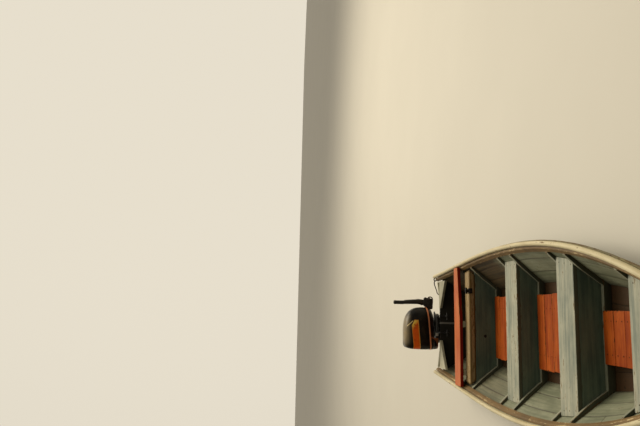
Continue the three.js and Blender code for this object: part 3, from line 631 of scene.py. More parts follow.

# Frames: a floor timber across the bottom and a rib up each side, two frames at each seat and one at the bow.
# They are painted with the inside and dirty at the foot, with painted shade on the forward face.
frame_paint_and_shade = painted_wood("frame_paint_and_shade", (122, 126, 106), (164, 164, 142), (116, 94, 60), bare=0.5,
                           grime=0.8, outside_or_shade=((62, 66, 52), (88, 90, 70)))
FRAME_SIDING, FRAME_FOOT, FRAME_HEAD, FLOOR_TIMBER = 0.034, 0.034, 0.022, 0.050
HEAD_TAPER = 0.09  # the height over which a rib thins towards its head
INWALE_FOOT = 0.0325  # how far below the sheer the ribs end
FIT = 0.0015  # how far a timber stops short of the planking
FRAMES = [
    # node, s of the aft face
    ("aft_seat_aft_frame", 0.742),
    ("aft_seat_fore_frame", 0.983),
    ("second_seat_aft_frame", 1.650),
    ("second_seat_fore_frame", 1.928),
    ("third_seat_aft_frame", 2.618),
    ("third_seat_fore_frame", 2.892),
    ("fourth_seat_aft_frame", 3.535),
    ("fourth_seat_fore_frame", 3.812),
    ("bow_frame", 4.130),
]


def floor_at(s):
    """The height of the bottom planking's upper face."""
    return hull_lines((s - CHINE_START) / (CHINE_END - CHINE_START))[3] + PLANK


def across(profile, gap=0.0, half=None, steps=14, radius=0.0025, shift=0.0):
    """A timber across the boat, of one profile (K, 2) in s and z.

    It reaches half each way from the middle, or without half to gap short of the planking.
    """
    outline, shares = eased(np.column_stack([profile, np.zeros(len(profile))]), radius)
    s, z = outline[:, 0], outline[:, 1]
    reach = inside_half(s, z) - gap if half is None else half
    t = np.linspace(-1, 1, steps)[:, None]
    rings, ring_shares = eased_ends(points_of(t * reach, y_at(s), z), radius)
    return shell_of(rings, ring_shares, shares, shift)


def block_profile(start, end, low, high, rises=1):
    """A rectangle in s and z, its upright edges in as many steps as rises."""
    z = np.linspace(low, high, rises + 1)
    return np.array([(start, height) for height in z] + [(end, height) for height in z[::-1]])


for node, s in FRAMES:
    faces = np.array([s, s + FRAME_SIDING])
    top = hull_lines(faces / RAIL_LENGTH)[1].min() - INWALE_FOOT
    floor = float(floor_at(s)) + SEAM
    timber = floor + FLOOR_TIMBER
    shells = [across(block_profile(*faces, floor, timber), gap=FIT, shift=s)]
    z = np.linspace(timber + SEAM, top, 9)
    aft, fore = (inside_half(face, z) - FIT for face in faces)
    deep = np.interp(z, [top - HEAD_TAPER, top], [FRAME_FOOT, FRAME_HEAD])
    aft_y, fore_y = y_at(faces)
    rib = outlines((aft, aft_y, z), (fore, fore_y, z), (fore - deep, fore_y, z), (aft - deep, aft_y, z))
    shells += [rounded(rib * (sign, 1, 1), 0.0025, shift=s + sign) for sign in (1, -1)]
    made = make_piece(node + "_timbers", shells, frame_paint_and_shade, stands_for=node)
    shade_faces(made, shells, [(15, 21), (9, 15), (9, 15)])

# Seats: the second, third and fourth are planks between their frames, pale on top, with painted shade on the
# forward face. A painted board below each seat closes the bay between its frames. The boards are darker than
# the rest of the inside: painted shade for the deep shade under the seats.
seat_paint_and_shade = painted_wood("seat_paint_and_shade", (118, 125, 112), (182, 179, 156), (120, 96, 56), bare=0.6, grime=0.7,
                          rubbed=0.05, outside_or_shade=((70, 76, 62), (96, 98, 78)))
BULKHEAD_PAINT_AND_SHADE = (76, 92, 82), (110, 124, 106), (84, 76, 50)
bulkhead_wear = dict(bare=0.4, grime=0.8, dirt=(70, 68, 48), gloss=0.2)
bulkhead_paint_and_shade = painted_wood("bulkhead_paint_and_shade", *BULKHEAD_PAINT_AND_SHADE, **bulkhead_wear)
knotted_paint_and_shade = painted_wood("knotted_paint_and_shade", *BULKHEAD_PAINT_AND_SHADE, **bulkhead_wear, knot=(-0.082, 0.092, 0.017))
BULKHEAD, PLANK_GAP = 0.016, 0.006
SEATS = [
    # name, s of the plank's aft edge and of the forward frame, top and thickness
    ("aft", 0.838, 0.983, 0.235, 0.055),
    ("second", 1.688, 1.928, 0.157, 0.028),
    ("third", 2.656, 2.892, 0.171, 0.028),
    ("fourth", 3.573, 3.812, 0.214, 0.028),
]


def sag(x):
    """How far a plank hangs low at x: a cosine of 1.2 mm, and 1.6 mm for each metre to port."""
    return 0.0012 * np.cos(x * 2.8) + 0.0016 * x


for name, start, fore_frame, top, thick in SEATS:
    end = fore_frame - SEAM
    if name != "aft":
        profile = block_profile(start, end, top - thick, top)
        plank = across(profile, gap=PLANK_GAP, steps=24, radius=0.004, shift=start)
        plank[0][:, 2] -= sag(plank[0][:, 0])
        made = make_piece(name + "_seat_plank", [plank], seat_paint_and_shade, "hull", name + "_seat")
        shade_faces(made, [plank], [(15, 24)])
    low = float(floor_at(fore_frame)) + 2 * SEAM
    profile = block_profile(end - BULKHEAD, end, low, top - thick - SEAM, rises=5)
    board = across(profile, gap=FIT, radius=0.0015, shift=start + 5)
    finish = knotted_paint_and_shade if name == "aft" else bulkhead_paint_and_shade
    make_piece(name + "_bulkhead_board", [board], finish, "hull", name + "_bulkhead")

# Aft seat: one heavy beam of bare timber with its corners worn round. Two pale posts that stand on its aft
# edge carry the crossbar.
beam_timber = painted_wood("beam_timber", (146, 122, 84), (168, 144, 100), (132, 104, 56), bare=1.0,
                           grime=0.65)
post_paint = painted_wood("post_paint", (134, 138, 120), (178, 176, 152), (120, 96, 56), bare=0.6, grime=0.7)
BEAM_GAP, BEAM_ROUND = 0.045, 0.014
CROSSBAR_TOP, CROSSBAR_THICK = 0.29385, 0.030
POST_PLACES = (-0.417, 0.020)  # x
POST_FOOT, POST_HALF, POST_THICK = 0.229, 0.03, 0.018
name, start, fore_frame, top, thick = SEATS[0]
profile = block_profile(start, fore_frame - SEAM, top - thick, top)
beam = across(profile, gap=BEAM_GAP, steps=24, radius=BEAM_ROUND, shift=0.4)
make_piece("aft_beam", [beam], beam_timber, stands_for="aft_seat")
z = np.linspace(POST_FOOT, CROSSBAR_TOP - CROSSBAR_THICK - SEAM, 4)
aft_y, fore_y = y_at(start), y_at(start + POST_THICK)
shells = []
for x in POST_PLACES:
    left, right = x - POST_HALF, x + POST_HALF
    post = outlines((left, aft_y, z), (right, aft_y, z), (right, fore_y, z), (left, fore_y, z))
    shells.append(rounded(post, 0.002, shift=x))
make_piece("crossbar_posts", shells, post_paint)

# Wing nut: black iron, near the beam's forward edge to port. It is screwed down on a plate that is bent over
# the edge.
KNOB_X, KNOB_Y = 0.327, 1.394
PLATE_HALF, PLATE_REACH = 0.024, 0.020
PLATE_LOW, PLATE_HIGH = 0.2340, 0.2385
DROP_FORE, DROP_AFT = 1.3725, 1.3775  # y of the part of the plate that hangs over the edge
WING_REACH, WING_LEAN, WING_RADIUS, HUB_RADIUS = 0.021, 0.004, 0.0085, 0.0140


def band_round(circles, steps=56):
    """The outline (steps, 2) of a band drawn tight round circles (u, v, radius).

    For each way out it takes the circle that reaches furthest, and that circle's point in the same way.
    """
    circles = np.array(circles, float)
    turn = np.linspace(0, 2 * np.pi, steps, endpoint=False)
    way = np.stack([np.cos(turn), np.sin(turn)], axis=1)
    furthest = np.argmax(way @ circles[:, :2].T + circles[:, 2], axis=1)
    return circles[furthest, :2] + circles[furthest, 2:] * way


def plated(outline, near, far, axis=1, radius=0.002):
    """A plate between near and far along an axis, its rims rounded, from an outline on the other two."""
    ends = np.array([np.insert(outline, axis, depth, axis=1) for depth in (near, far)])
    rings, ring_shares = eased_ends(ends, radius, reach=0.3 * abs(far - near))
    return shell_of(rings, ring_shares)


def rod_between(centre, radius, near, far, axis=0, sides=28, rim=0.0015):
    """A round bar, or a nut with six sides, between near and far on an axis through centre."""
    turn = np.linspace(0, 2 * np.pi, sides, endpoint=False)
    circle = radius * np.stack([np.cos(turn), np.sin(turn)], axis=1)
    return plated(np.add(centre, circle), near, far, axis, rim)


black_knob = Finish("black_knob", Specular_IOR_Level=0.2)
grit = black_knob.noise(black_knob.place(), 120, detail=5)
iron_black = grit.within(0.4, 0.75).tint((18, 16, 14), (54, 42, 30))
black_knob.feed(grit, 0.0004, Base_Color=iron_black, Roughness=grit * 0.4 + 0.4)
wings = band_round([
    (KNOB_X - WING_REACH, KNOB_Y - WING_LEAN, WING_RADIUS),
    (KNOB_X, KNOB_Y, HUB_RADIUS),
    (KNOB_X + WING_REACH, KNOB_Y + WING_LEAN, WING_RADIUS),
])
plate_drop = band_round([
    (KNOB_X - 0.018, 0.2140, 0.006), (KNOB_X + 0.018, 0.2140, 0.006),
    (KNOB_X - 0.020, 0.2345, 0.004), (KNOB_X + 0.020, 0.2345, 0.004),
])
plate_top = np.array([
    (KNOB_X + x * PLATE_HALF, KNOB_Y + y * PLATE_REACH) for x, y in ((-1, -1), (1, -1), (1, 1), (-1, 1))
])
make_piece("beam_knob", [
    plated(plate_drop, DROP_FORE, DROP_AFT),
    plated(plate_top, PLATE_LOW, PLATE_HIGH, axis=2, radius=0.001),
    rod_between((KNOB_X, KNOB_Y), 0.0060, 0.2370, 0.2740, axis=2),
    rod_between((KNOB_X, KNOB_Y), 0.0150, 0.2375, 0.2560, axis=2, rim=0.003),
    plated(wings, 0.2500, 0.2680, axis=2, radius=0.004),
], black_knob.material)

# Floor panels: boards nailed across two bearers, lifted out to bail. They are red, scuffed by feet and
# darker at the joints.
floor_red = painted_wood("floor_red", (132, 49, 5), (184, 89, 22), (96, 56, 22), bare=0.4, grime=0.7,
                         gloss=0.1, dirt=(92, 40, 12), low=-0.06)
BOARDS, BOARD_THICK, BOARD_TOP, BOARD_JOINT = 5, 0.018, 0.012, 0.003
BEARER, BEARER_SHORT = 0.045, 0.004
BEARER_OUT = 0.62  # share of the half width
SLIP, LIFT, TWIST = 0.004, 0.0012, 0.004  # how far boards lie out of place in x, in z, and in z a metre of x
FLOOR_PANELS = [
    # name, s of its aft and forward edges, half width
    ("aft", 1.026, 1.642, 0.275),
    ("middle", 1.970, 2.610, 0.278),
    ("fore", 2.934, 3.528, 0.160),
]
under = BOARD_TOP - BOARD_THICK
shake = np.random.default_rng(4)
for name, start, end, half in FLOOR_PANELS:
    step = (end - start + BOARD_JOINT) / BOARDS
    shells = []
    for k in range(BOARDS):
        near = start + k * step
        profile = block_profile(near, near + step - BOARD_JOINT, under, BOARD_TOP)
        board = across(profile, half=half, radius=0.003, shift=near + k)
        board[0][:, 0] += shake.uniform(-SLIP, SLIP)
        board[0][:, 2] += shake.uniform(-LIFT, LIFT) + shake.uniform(-TWIST, TWIST) * board[0][:, 0]
        shells.append(board)
    floor = float(max(floor_at(start), floor_at(end))) + SEAM
    for x in (-BEARER_OUT * half, BEARER_OUT * half):
        profile = block_profile(start + BEARER_SHORT, end - BEARER_SHORT, floor, under + 0.001)
        bearer = across(profile, half=BEARER / 2, radius=0.002, steps=4, shift=x)
        bearer[0][:, 0] += x
        shells.append(bearer)
    make_piece(name + "_floor_boards", shells, floor_red, stands_for=name + "_floor_panel")

# Crossbar: a red plank from inwale to inwale behind the aft seat, its forward edge sawn back towards port.
# The top is a faded salmon, and the edges are a deeper red that is painted shade.
bar_red_and_shade = painted_wood("bar_red_and_shade", (176, 84, 44), (200, 116, 66), (136, 86, 44), bare=0.36, grime=0.45,
                       rough=0.5, gloss=0.12, dirt=(120, 62, 34), under=((132, 22, 0), 0.2900))
BAR_HALF = 0.55
BAR_AFT, BAR_FORE, BAR_SAWN = 0.685, 0.860, 0.795  # s
SAWN_FROM = 0.06  # x
BAR_WAVE = 0.0009
x = np.linspace(-BAR_HALF, BAR_HALF, 30)
aft_y = y_at(BAR_AFT)
fore_y = y_at(np.interp(x, [-BAR_HALF, SAWN_FROM, BAR_HALF], [BAR_FORE, BAR_FORE, BAR_SAWN]))
low = CROSSBAR_TOP - CROSSBAR_THICK
top = low + CROSSBAR_THICK + BAR_WAVE * np.sin(x * 4.2)
bar = outlines((x, aft_y, low), (x, fore_y, low), (x, fore_y, top), (x, aft_y, top))
make_piece("crossbar_plank", [rounded(bar, 0.004, 0.003)], bar_red_and_shade, stands_for="crossbar")

# Transom, knees, stem and foredeck: solid timber pieces that keep their sawn shape, with the sharp edges
# taken off. The knees and the deck are pale, and the transom dark below a pale top edge.
KNEE_TIMBER = (122, 98, 58)
transom_paint = painted_wood("transom_paint", (152, 148, 124), (184, 178, 150), (48, 36, 20), bare=0.5,
                             grime=0.9, gloss=0.2, grain="x", under=((42, 38, 28), 0.2885))
knee_paint = painted_wood("knee_paint", (138, 134, 112), (172, 166, 140), KNEE_TIMBER, grime=0.4, grain="x")
# The starboard knee is painted paler than the port one: painted light, set against the motor's shadow.
painted_light_knee_paint = painted_wood("painted_light_knee_paint", (176, 172, 146), (206, 198, 168), KNEE_TIMBER, grime=0.4,
                               grain="x")
stem_paint = painted_wood("stem_paint", (178, 162, 124), (222, 208, 170), (132, 106, 66), bare=0.7,
                          grime=0.6, grain="z")
deck_paint = painted_wood("deck_paint", (140, 146, 134), (182, 184, 172), (126, 102, 64), bare=0.6,
                          grime=0.6, grain="y")


def eased_copy(node, radius, finish, body="hull", crisp=40):
    """A solid's own surface with merged points and rounded edges, standing for the solid."""
    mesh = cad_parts[node].data.copy()
    shape = bmesh.new()
    shape.from_mesh(mesh)
    bmesh.ops.remove_doubles(shape, verts=shape.verts, dist=1e-5)
    bmesh.ops.dissolve_limit(shape, angle_limit=np.radians(0.6), verts=shape.verts, edges=shape.edges)
    shape.to_mesh(mesh)
    shape.free()
    made = add_piece(node + "_finished", mesh, finish, body, node, crisp)
    bevel = made.modifiers.new("eased_edges", "BEVEL")
    bevel.width = radius
    bevel.segments = 2
    bevel.limit_method = "ANGLE"
    bevel.angle_limit = np.radians(32)


eased_copy("transom", 0.003, transom_paint)
eased_copy("quarter_knee_port", 0.002, knee_paint)
eased_copy("quarter_knee_starboard", 0.002, painted_light_knee_paint)
eased_copy("stem", 0.004, stem_paint)
eased_copy("foredeck", 0.002, deck_paint)

# Outboard bracket, swivel and yoke: cast aluminium with dark paint that has chipped in spots. Where the
# motor tilts, the tube has steel ends and nuts, pale with a painted highlight, and cast sleeves and bushings
# that are near black with painted shade.
TILT_TUBE = (2.255, 0.312)  # y and z
FLANGE_CORNERS = ((-0.092, 2.315), (0.092, 2.315), (-0.116, 2.368), (0.116, 2.368))
FLANGE_LOW, FLANGE_HIGH, FLANGE_ROUND = 0.3110, 0.3195, 0.014
WEB_HALF, WEB_ROUND = 0.076, 0.006


def worn_metal(name, coat, metal, chipped=0.4, rough=0.42, metallic=0.85):
    """Paint on metal: spots where it has chipped show the metal, and dust lies on the rest."""
    made = Finish(name)
    spots = made.noise(made.place(), 90, detail=7, roughness=0.7)
    cloud = made.noise(made.place(), 9, detail=4)
    scratch = made.noise(made.place((30, 30, 900)), detail=2)
    wear = spots + (cloud - 0.5) * 0.7 + (scratch - 0.5) * 0.15
    chip = wear.within(0.70 - 0.12 * chipped, 0.74 - 0.12 * chipped)
    dust = (cloud * 0.5 + spots * 0.5).within(0.42, 0.68) * 0.5
    colour = chip.tint(dust.tint(coat, (84, 76, 60)), metal)
    relief = spots * 0.4 + scratch * 0.3 + (1 - chip) * 0.5
    return made.feed(relief, 0.0005, Base_Color=colour, Roughness=rough + dust * 0.45 - chip * 0.08,
                     Metallic=chip * metallic)


bracket_metal = worn_metal("bracket_metal", (38, 37, 35), (150, 148, 142), chipped=0.9)
# The steel's pale colour is partly a painted highlight.
steel_and_highlight = worn_metal("steel_and_highlight", (186, 178, 162), (236, 230, 218), chipped=0.9, rough=0.3,
                          metallic=0.6)
# Near black: painted shade on the sleeves and bushings.
casting_and_shade = worn_metal("casting_and_shade", (38, 36, 32), (72, 69, 63), chipped=0.8, rough=0.4)
eased_copy("clamp_bracket", 0.0015, bracket_metal)
eased_copy("swivel_bracket", 0.002, bracket_metal, "swivel")
eased_copy("steering_yoke", 0.0015, bracket_metal, "motor")
TUBE_FITTINGS = [
    # name, finish, body, and the radius, both ends' x and number of sides of each length of bar
    ("tilt_tube_sleeves", steel_and_highlight, "hull", [
        (0.0118, -0.1240, -0.0925, 28), (0.0118, 0.0925, 0.1040, 28),
        (0.0185, -0.1070, -0.0925, 6), (0.0185, 0.0925, 0.1035, 6),
    ]),
    ("clamp_sleeves", casting_and_shade, "hull", [
        (0.0118, -0.0190, 0.0190, 28), (0.0205, -0.0795, -0.0575, 28), (0.0205, 0.0575, 0.0795, 28),
    ]),
    ("tilt_bushings", casting_and_shade, "swivel", [
        (0.0190, -0.0555, -0.0215, 28), (0.0190, 0.0215, 0.0555, 28),
    ]),
]
for name, finish, body, bars in TUBE_FITTINGS:
    shells = [rod_between(TILT_TUBE, radius, near, far, sides=sides) for radius, near, far, sides in bars]
    make_piece(name, shells, finish, body)
flange = band_round([(x, y, FLANGE_ROUND) for x, y in FLANGE_CORNERS])
web = band_round([(y, z, WEB_ROUND) for z in (0.276, 0.310) for y in (2.304, 2.316)])
shells = [plated(flange, FLANGE_LOW, FLANGE_HIGH, axis=2), plated(web, -WEB_HALF, WEB_HALF, axis=0)]
make_piece("swivel_flange", shells, bracket_metal, "swivel")

# Strap and hook: a flat steel strap bent over the transom's edge and screwed down its inner face, and a
# bent wire from the port rail's end to the transom.
STRAP_X, STRAP_HALF, STRAP_HALF_THICK = 0.013, 0.0095, 0.0018
STRAP_LINE = np.array([
    # y and z down the middle of the strap's thickness
    (2.2570, 0.2880), (2.2400, 0.2880), (2.2320, 0.2872), (2.2285, 0.2830), (2.2205, 0.2500),
    (2.2000, 0.1560), (2.1810, 0.0640),
])
WIRE_RADIUS = 0.0055
EYE_X, EYE_Y, EYE_Z, EYE_RADIUS = 0.474, 2.366, 0.298, 0.0155
EYE_TURN = np.radians(np.linspace(200, 560, 13))
EYE_STEP = 0.0006  # how far aft the wire goes from one point of the eye to the next
WIRE_ROUTE = [
    (0.452, 2.372, 0.3080), (0.428, 2.362, 0.3130), (0.398, 2.350, 0.3080), (0.368, 2.335, 0.3010),
    (0.345, 2.312, 0.2990), (0.326, 2.287, 0.3020), (0.316, 2.262, 0.3010), (0.310, 2.245, 0.2930),
]


def through(table, steps):
    """As many points as steps on the curve through all the rows of a table."""
    return curve_through(np.asarray(table, float), np.linspace(0, len(table) - 1, steps))


def tube_along(route, radius, steps=60):
    """A bent round bar along the curve through a route, of circles of 14 points square to the way ahead."""
    centres = through(route, steps)
    ahead = np.gradient(centres, axis=0)
    ahead /= np.linalg.norm(ahead, axis=1, keepdims=True)
    aside = np.cross(ahead, (0.11, 0.97, 0.2))
    aside /= np.linalg.norm(aside, axis=1, keepdims=True)
    over = np.cross(aside, ahead)
    turn = np.linspace(0, 2 * np.pi, 14, endpoint=False)[:, None]
    circles = np.cos(turn) * aside[:, None] + np.sin(turn) * over[:, None]
    return shell_of(centres[:, None] + radius * circles)


strap_steel = worn_metal("strap_steel", (116, 111, 100), (150, 145, 136), chipped=0.8, rough=0.4)
wire = worn_metal("black_wire", (26, 22, 20), (92, 52, 34), chipped=0.6, rough=0.5, metallic=0.3)
flow = np.gradient(STRAP_LINE, axis=0)
outward = flow[:, ::-1] / np.linalg.norm(flow, axis=1, keepdims=True) * (1, -1) * STRAP_HALF_THICK
strap = outlines(*(
    (STRAP_X + aside * STRAP_HALF, *(STRAP_LINE + out * outward).T)
    for aside, out in ((1, 1), (1, -1), (-1, -1), (-1, 1))
))
make_piece("transom_strap", [shell_of(strap, point_shares=1.0)], strap_steel)
eye = points_of(EYE_X + EYE_RADIUS * np.cos(EYE_TURN), EYE_Y + EYE_STEP * np.arange(len(EYE_TURN)),
                EYE_Z + EYE_RADIUS * np.sin(EYE_TURN))
make_piece("rail_wire", [tube_along([*eye, *WIRE_ROUTE], WIRE_RADIUS, steps=110)], wire)

# Upper cowl: a moulded shell, square behind and round in front, that drops over the engine. It is gloss
# black and dusty, with a painted reflection of the sky along its top, an orange band edged in amber with a
# painted highlight at its yellow tip, a pale line that slants up from the band, and a thin salmon lower rim
# line.
STEER_Y = 2.38
COWL_NOSE, COWL_REAR = -0.174, 0.267
SPLIT_REAR, SPLIT_NOSE = 0.371, 0.402
UPPER_LEVELS = [
    # front, rear, half width, height, slope
    (-0.1710, 0.2640, 0.1335, 0.3903, 1.0),
    (-0.1745, 0.2675, 0.1385, 0.3925, 1.0),
    (-0.1750, 0.2680, 0.1400, 0.3985, 1.0),
    (-0.1745, 0.2672, 0.1395, 0.4050, 1.0),
    (-0.1715, 0.2655, 0.1380, 0.4090, 1.0),
    (-0.1735, 0.2670, 0.1400, 0.4360, 0.7),
    (-0.1725, 0.2670, 0.1400, 0.4730, 0.3),
    (-0.1690, 0.2660, 0.1385, 0.5100, 0.0),
    (-0.1610, 0.2655, 0.1355, 0.5370, 0.0),
    (-0.1480, 0.2640, 0.1310, 0.5620, 0.0),
    (-0.1290, 0.2615, 0.1240, 0.5870, 0.0),
    (-0.1010, 0.2570, 0.1130, 0.6090, 0.0),
    (-0.0640, 0.2480, 0.0960, 0.6270, 0.0),
    (-0.0220, 0.2300, 0.0720, 0.6390, 0.0),
    (0.0300, 0.1980, 0.0400, 0.6450, 0.0),
    (0.0800, 0.1500, 0.0100, 0.6462, 0.0),
]
COWL_CORNER = 0.055


def split_z(y):
    """Height of the line where the cowls part: straight, rising from the rear to the nose."""
    return SPLIT_REAR + (SPLIT_NOSE - SPLIT_REAR) * (COWL_REAR - y) / (COWL_REAR - COWL_NOSE)


def turned(points):
    """From the motor's own frame, nose towards -Y, to how it stands: a quarter turn on its axis to port."""
    return np.stack([-points[..., 1], STEER_Y + points[..., 0], points[..., 2]], axis=-1)


def cowl_outline(front, rear, half):
    """A level of a cowl (K, 2): a blunt half oval in front, then straight sides, round corners, a flat rear.

    The steering axis is at 0. In front the width goes with the cosine of an angle to the power 0.8, and the
    length with its sine.
    """
    corner = min(COWL_CORNER, half * 0.45)
    nose = np.radians(np.linspace(90, 0, 15))
    shoulder = front + 0.42 * (rear - front)
    blunt = half * np.maximum(np.cos(nose), 0) ** 0.8
    oval = np.stack([blunt, shoulder + (front - shoulder) * np.sin(nose)], axis=1)
    bend = np.radians(np.linspace(0, 90, 9))
    arc = np.stack([half - corner + corner * np.cos(bend), rear - corner + corner * np.sin(bend)], axis=1)
    straight = np.linspace(oval[-1], arc[0], 7)[1:-1]
    right = np.vstack([oval, straight, arc])
    return np.vstack([right, right[:0:-1] * (-1, 1)])


def cowl_shell(table, steps):
    """A cowl through levels of front, rear, half width, z, and how far the level follows the parting line."""
    rings = []
    for front, rear, half, z, slope in through(table, steps):
        outline = cowl_outline(front, rear, max(half, 0.004))
        tilt = slope * (split_z(outline[:, 1]) - split_z(0.0))
        rings.append(turned(np.column_stack([outline, z + tilt])))
    return shell_of(np.array(rings))


SOFT = 0.0009  # how wide the edge of a stripe is
LINE_RISE = (SPLIT_NOSE - SPLIT_REAR) / (COWL_REAR - COWL_NOSE)
RIM_LINE = 0.0165  # the salmon line's upper edge over the parting line
BAND_TOP, BAND_TOP_RISE = 0.5860, 0.092  # height of each edge at x = 0, and its rise towards the nose
BAND_FOOT, BAND_FOOT_RISE = 0.5096, 0.079
BAND_TIP_X, TIP_LEAN, TIP_FROM = 0.041, 1.95, 0.554
LINE_LEAN, LINE_X, LINE_FROM = 0.97, 0.026, 0.573
cowl_black = Finish("cowl_black", Coat_Weight=0.14, Coat_Roughness=0.32, Specular_IOR_Level=0.18)
x, _, height = cowl_black.axes()


def band(inset, top_inset):
    """1 inside the orange band, drawn in by inset: between its edges and behind a tip with a slanting top."""
    top, foot, tip = BAND_TOP - top_inset, BAND_FOOT + inset, BAND_TIP_X - inset
    below = (height - x * BAND_TOP_RISE).within(top, top - SOFT)
    above = (height - x * BAND_FOOT_RISE).within(foot, foot + SOFT)
    slanted = (x + (height - TIP_FROM) * TIP_LEAN).within(tip, tip - SOFT)
    return below * above * x.within(tip, tip - SOFT) * slanted


dust = cowl_black.noise(cowl_black.place(), 16, detail=6, roughness=0.62)
scratch = cowl_black.noise(cowl_black.place((8, 60, 60)), 4, detail=5, roughness=0.6)
over_split = height - x * LINE_RISE - (SPLIT_REAR + LINE_RISE * COWL_REAR)
slant_line = abs(x + (height - LINE_FROM) * LINE_LEAN - LINE_X).within(0.0044, 0.0034)
slant_line = slant_line * height.within(0.566, 0.572) * height.within(0.631, 0.622)
rubbed = (dust * 0.7 + scratch * 0.5).within(0.60, 0.76)
# A pale painted reflection of the sky along the top, broken up by the dust pattern.
painted_sky_reflection = height.within(0.566, 0.645) * (dust * 0.8 + 0.35) * x.within(0.15, 0.02) * x.within(-0.262, -0.15)
black = painted_sky_reflection.tint(rubbed.tint((13, 9, 5), (46, 33, 16)), (144, 124, 86))
lined = slant_line.tint(black, (250, 226, 160))
edged = band(0.0, 0.0).tint(lined, (228, 158, 60))
# The band turns from orange to yellow towards its tip: a painted highlight.
orange_and_highlight = (x * 0.7 + (height - 0.54)).within(-0.025, 0.03).tint((240, 98, 0), (255, 222, 88))
banded = band(0.0075, 0.0035).tint(edged, rubbed.tint(orange_and_highlight, (190, 80, 10)))
colour = over_split.within(RIM_LINE, RIM_LINE - SOFT).tint(banded, (234, 146, 98))
rough = dust * 0.3 + rubbed * 0.25 + 0.2
cowl_black.feed(dust * 0.4 + scratch * 0.6, 0.0004, Base_Color=colour, Roughness=rough)
make_piece("upper_cowl_shell", [cowl_shell(UPPER_LEVELS, 70)], cowl_black.material, "motor",
           "upper_cowl", crisp=35)

# Lower cowl: a tray under the engine, deeper round the back of the leg, moulded in the same black. Its rear
# corner is brown outside a moulded curve, partly mud and partly a painted sheen.
LOWER_LEVELS = [
    # front, rear, half width, height, slope
    (-0.0880, 0.2320, 0.0820, 0.3370, 0.0),
    (-0.1040, 0.2430, 0.0960, 0.3385, 0.1),
    (-0.1350, 0.2550, 0.1090, 0.3460, 0.4),
    (-0.1600, 0.2630, 0.1200, 0.3590, 0.8),
    (-0.1680, 0.2660, 0.1280, 0.3730, 1.0),
    (-0.1705, 0.2665, 0.1315, 0.3840, 1.0),
    (-0.1700, 0.2660, 0.1310, 0.3886, 1.0),
]
DEEP_LEVELS = np.array([
    # half width, rear, height
    (0.078, 0.2580, 0.287),
    (0.086, 0.2615, 0.308),
    (0.096, 0.2635, 0.330),
    (0.104, 0.2640, 0.352),
])
DEEP_FRONT, DEEP_CORNER = 0.146, 0.03
CURVE_X, CURVE_Z, CURVE_RADIUS = -0.232, 0.388, 0.090
lower_black = Finish("lower_black", Specular_IOR_Level=0.3)
mud = lower_black.noise(lower_black.place(), 22, detail=6, roughness=0.62)
x, _, height = lower_black.axes()
from_curve = (x - CURVE_X).distance(height - CURVE_Z) - CURVE_RADIUS
mud_and_sheen = from_curve.within(-0.002, 0.004) * x.within(-0.128, -0.15)
moulding = abs(from_curve).within(0.0042, 0.0022) * x.within(-0.128, -0.14)
black = mud.within(0.4, 0.7).tint((20, 8, 5), (52, 28, 16))
brown = mud.within(0.3, 0.7).tint((120, 58, 20), (172, 104, 56))
colour = moulding.tint(mud_and_sheen.tint(black, brown), (166, 86, 56))
lower_black.feed(mud * 0.6 + moulding * 0.6, 0.0006, Base_Color=colour, Roughness=mud * 0.3 + 0.2)
half, rear, z = DEEP_LEVELS.T
deep_part = turned(outlines(
    (-half, DEEP_FRONT, z), (half, DEEP_FRONT, z), (half, rear - DEEP_CORNER, z),
    (half - DEEP_CORNER, rear, z), (DEEP_CORNER - half, rear, z), (-half, rear - DEEP_CORNER, z),
))
make_piece("lower_cowl_tray", [cowl_shell(LOWER_LEVELS, 30), rounded(deep_part, 0.006)],
           lower_black.material, "motor", "lower_cowl", crisp=40)

# Leg, gearcase and propeller: castings in dark satin paint with small chips, below the lower cowl. The leg is
# streamlined, and its foot and all that it carries are under water.
LEG_LEVELS = [
    # front, rear, half width, height
    (0.0660, 0.2050, 0.0420, 0.3056),
    (0.0690, 0.2005, 0.0390, 0.2680),
    (0.0720, 0.1960, 0.0360, 0.2300),
    (0.0785, 0.1900, 0.0315, 0.1450),
    (0.0850, 0.1840, 0.0270, 0.0600),
    (0.0825, 0.1870, 0.0265, -0.0240),
    (0.0800, 0.1900, 0.0260, -0.1076),
]
casing_paint = worn_metal("casing_paint", (46, 46, 48), (128, 124, 116), chipped=0.3, rough=0.36)
turn = np.linspace(0, 2 * np.pi, 40, endpoint=False)
cosine, sine = np.cos(turn), np.sin(turn)
front, rear, half, z = through(LEG_LEVELS, 26).T[..., None]
leg = turned(points_of(half * cosine * (1 - 0.25 * sine), (front + rear) / 2 + (rear - front) / 2 * sine, z))
make_piece("leg_casing", [shell_of(leg)], casing_paint, "motor", "leg")
eased_copy("gearcase", 0.002, casing_paint, "motor")
eased_copy("propeller", 0.0008, casing_paint, "propeller", crisp=50)

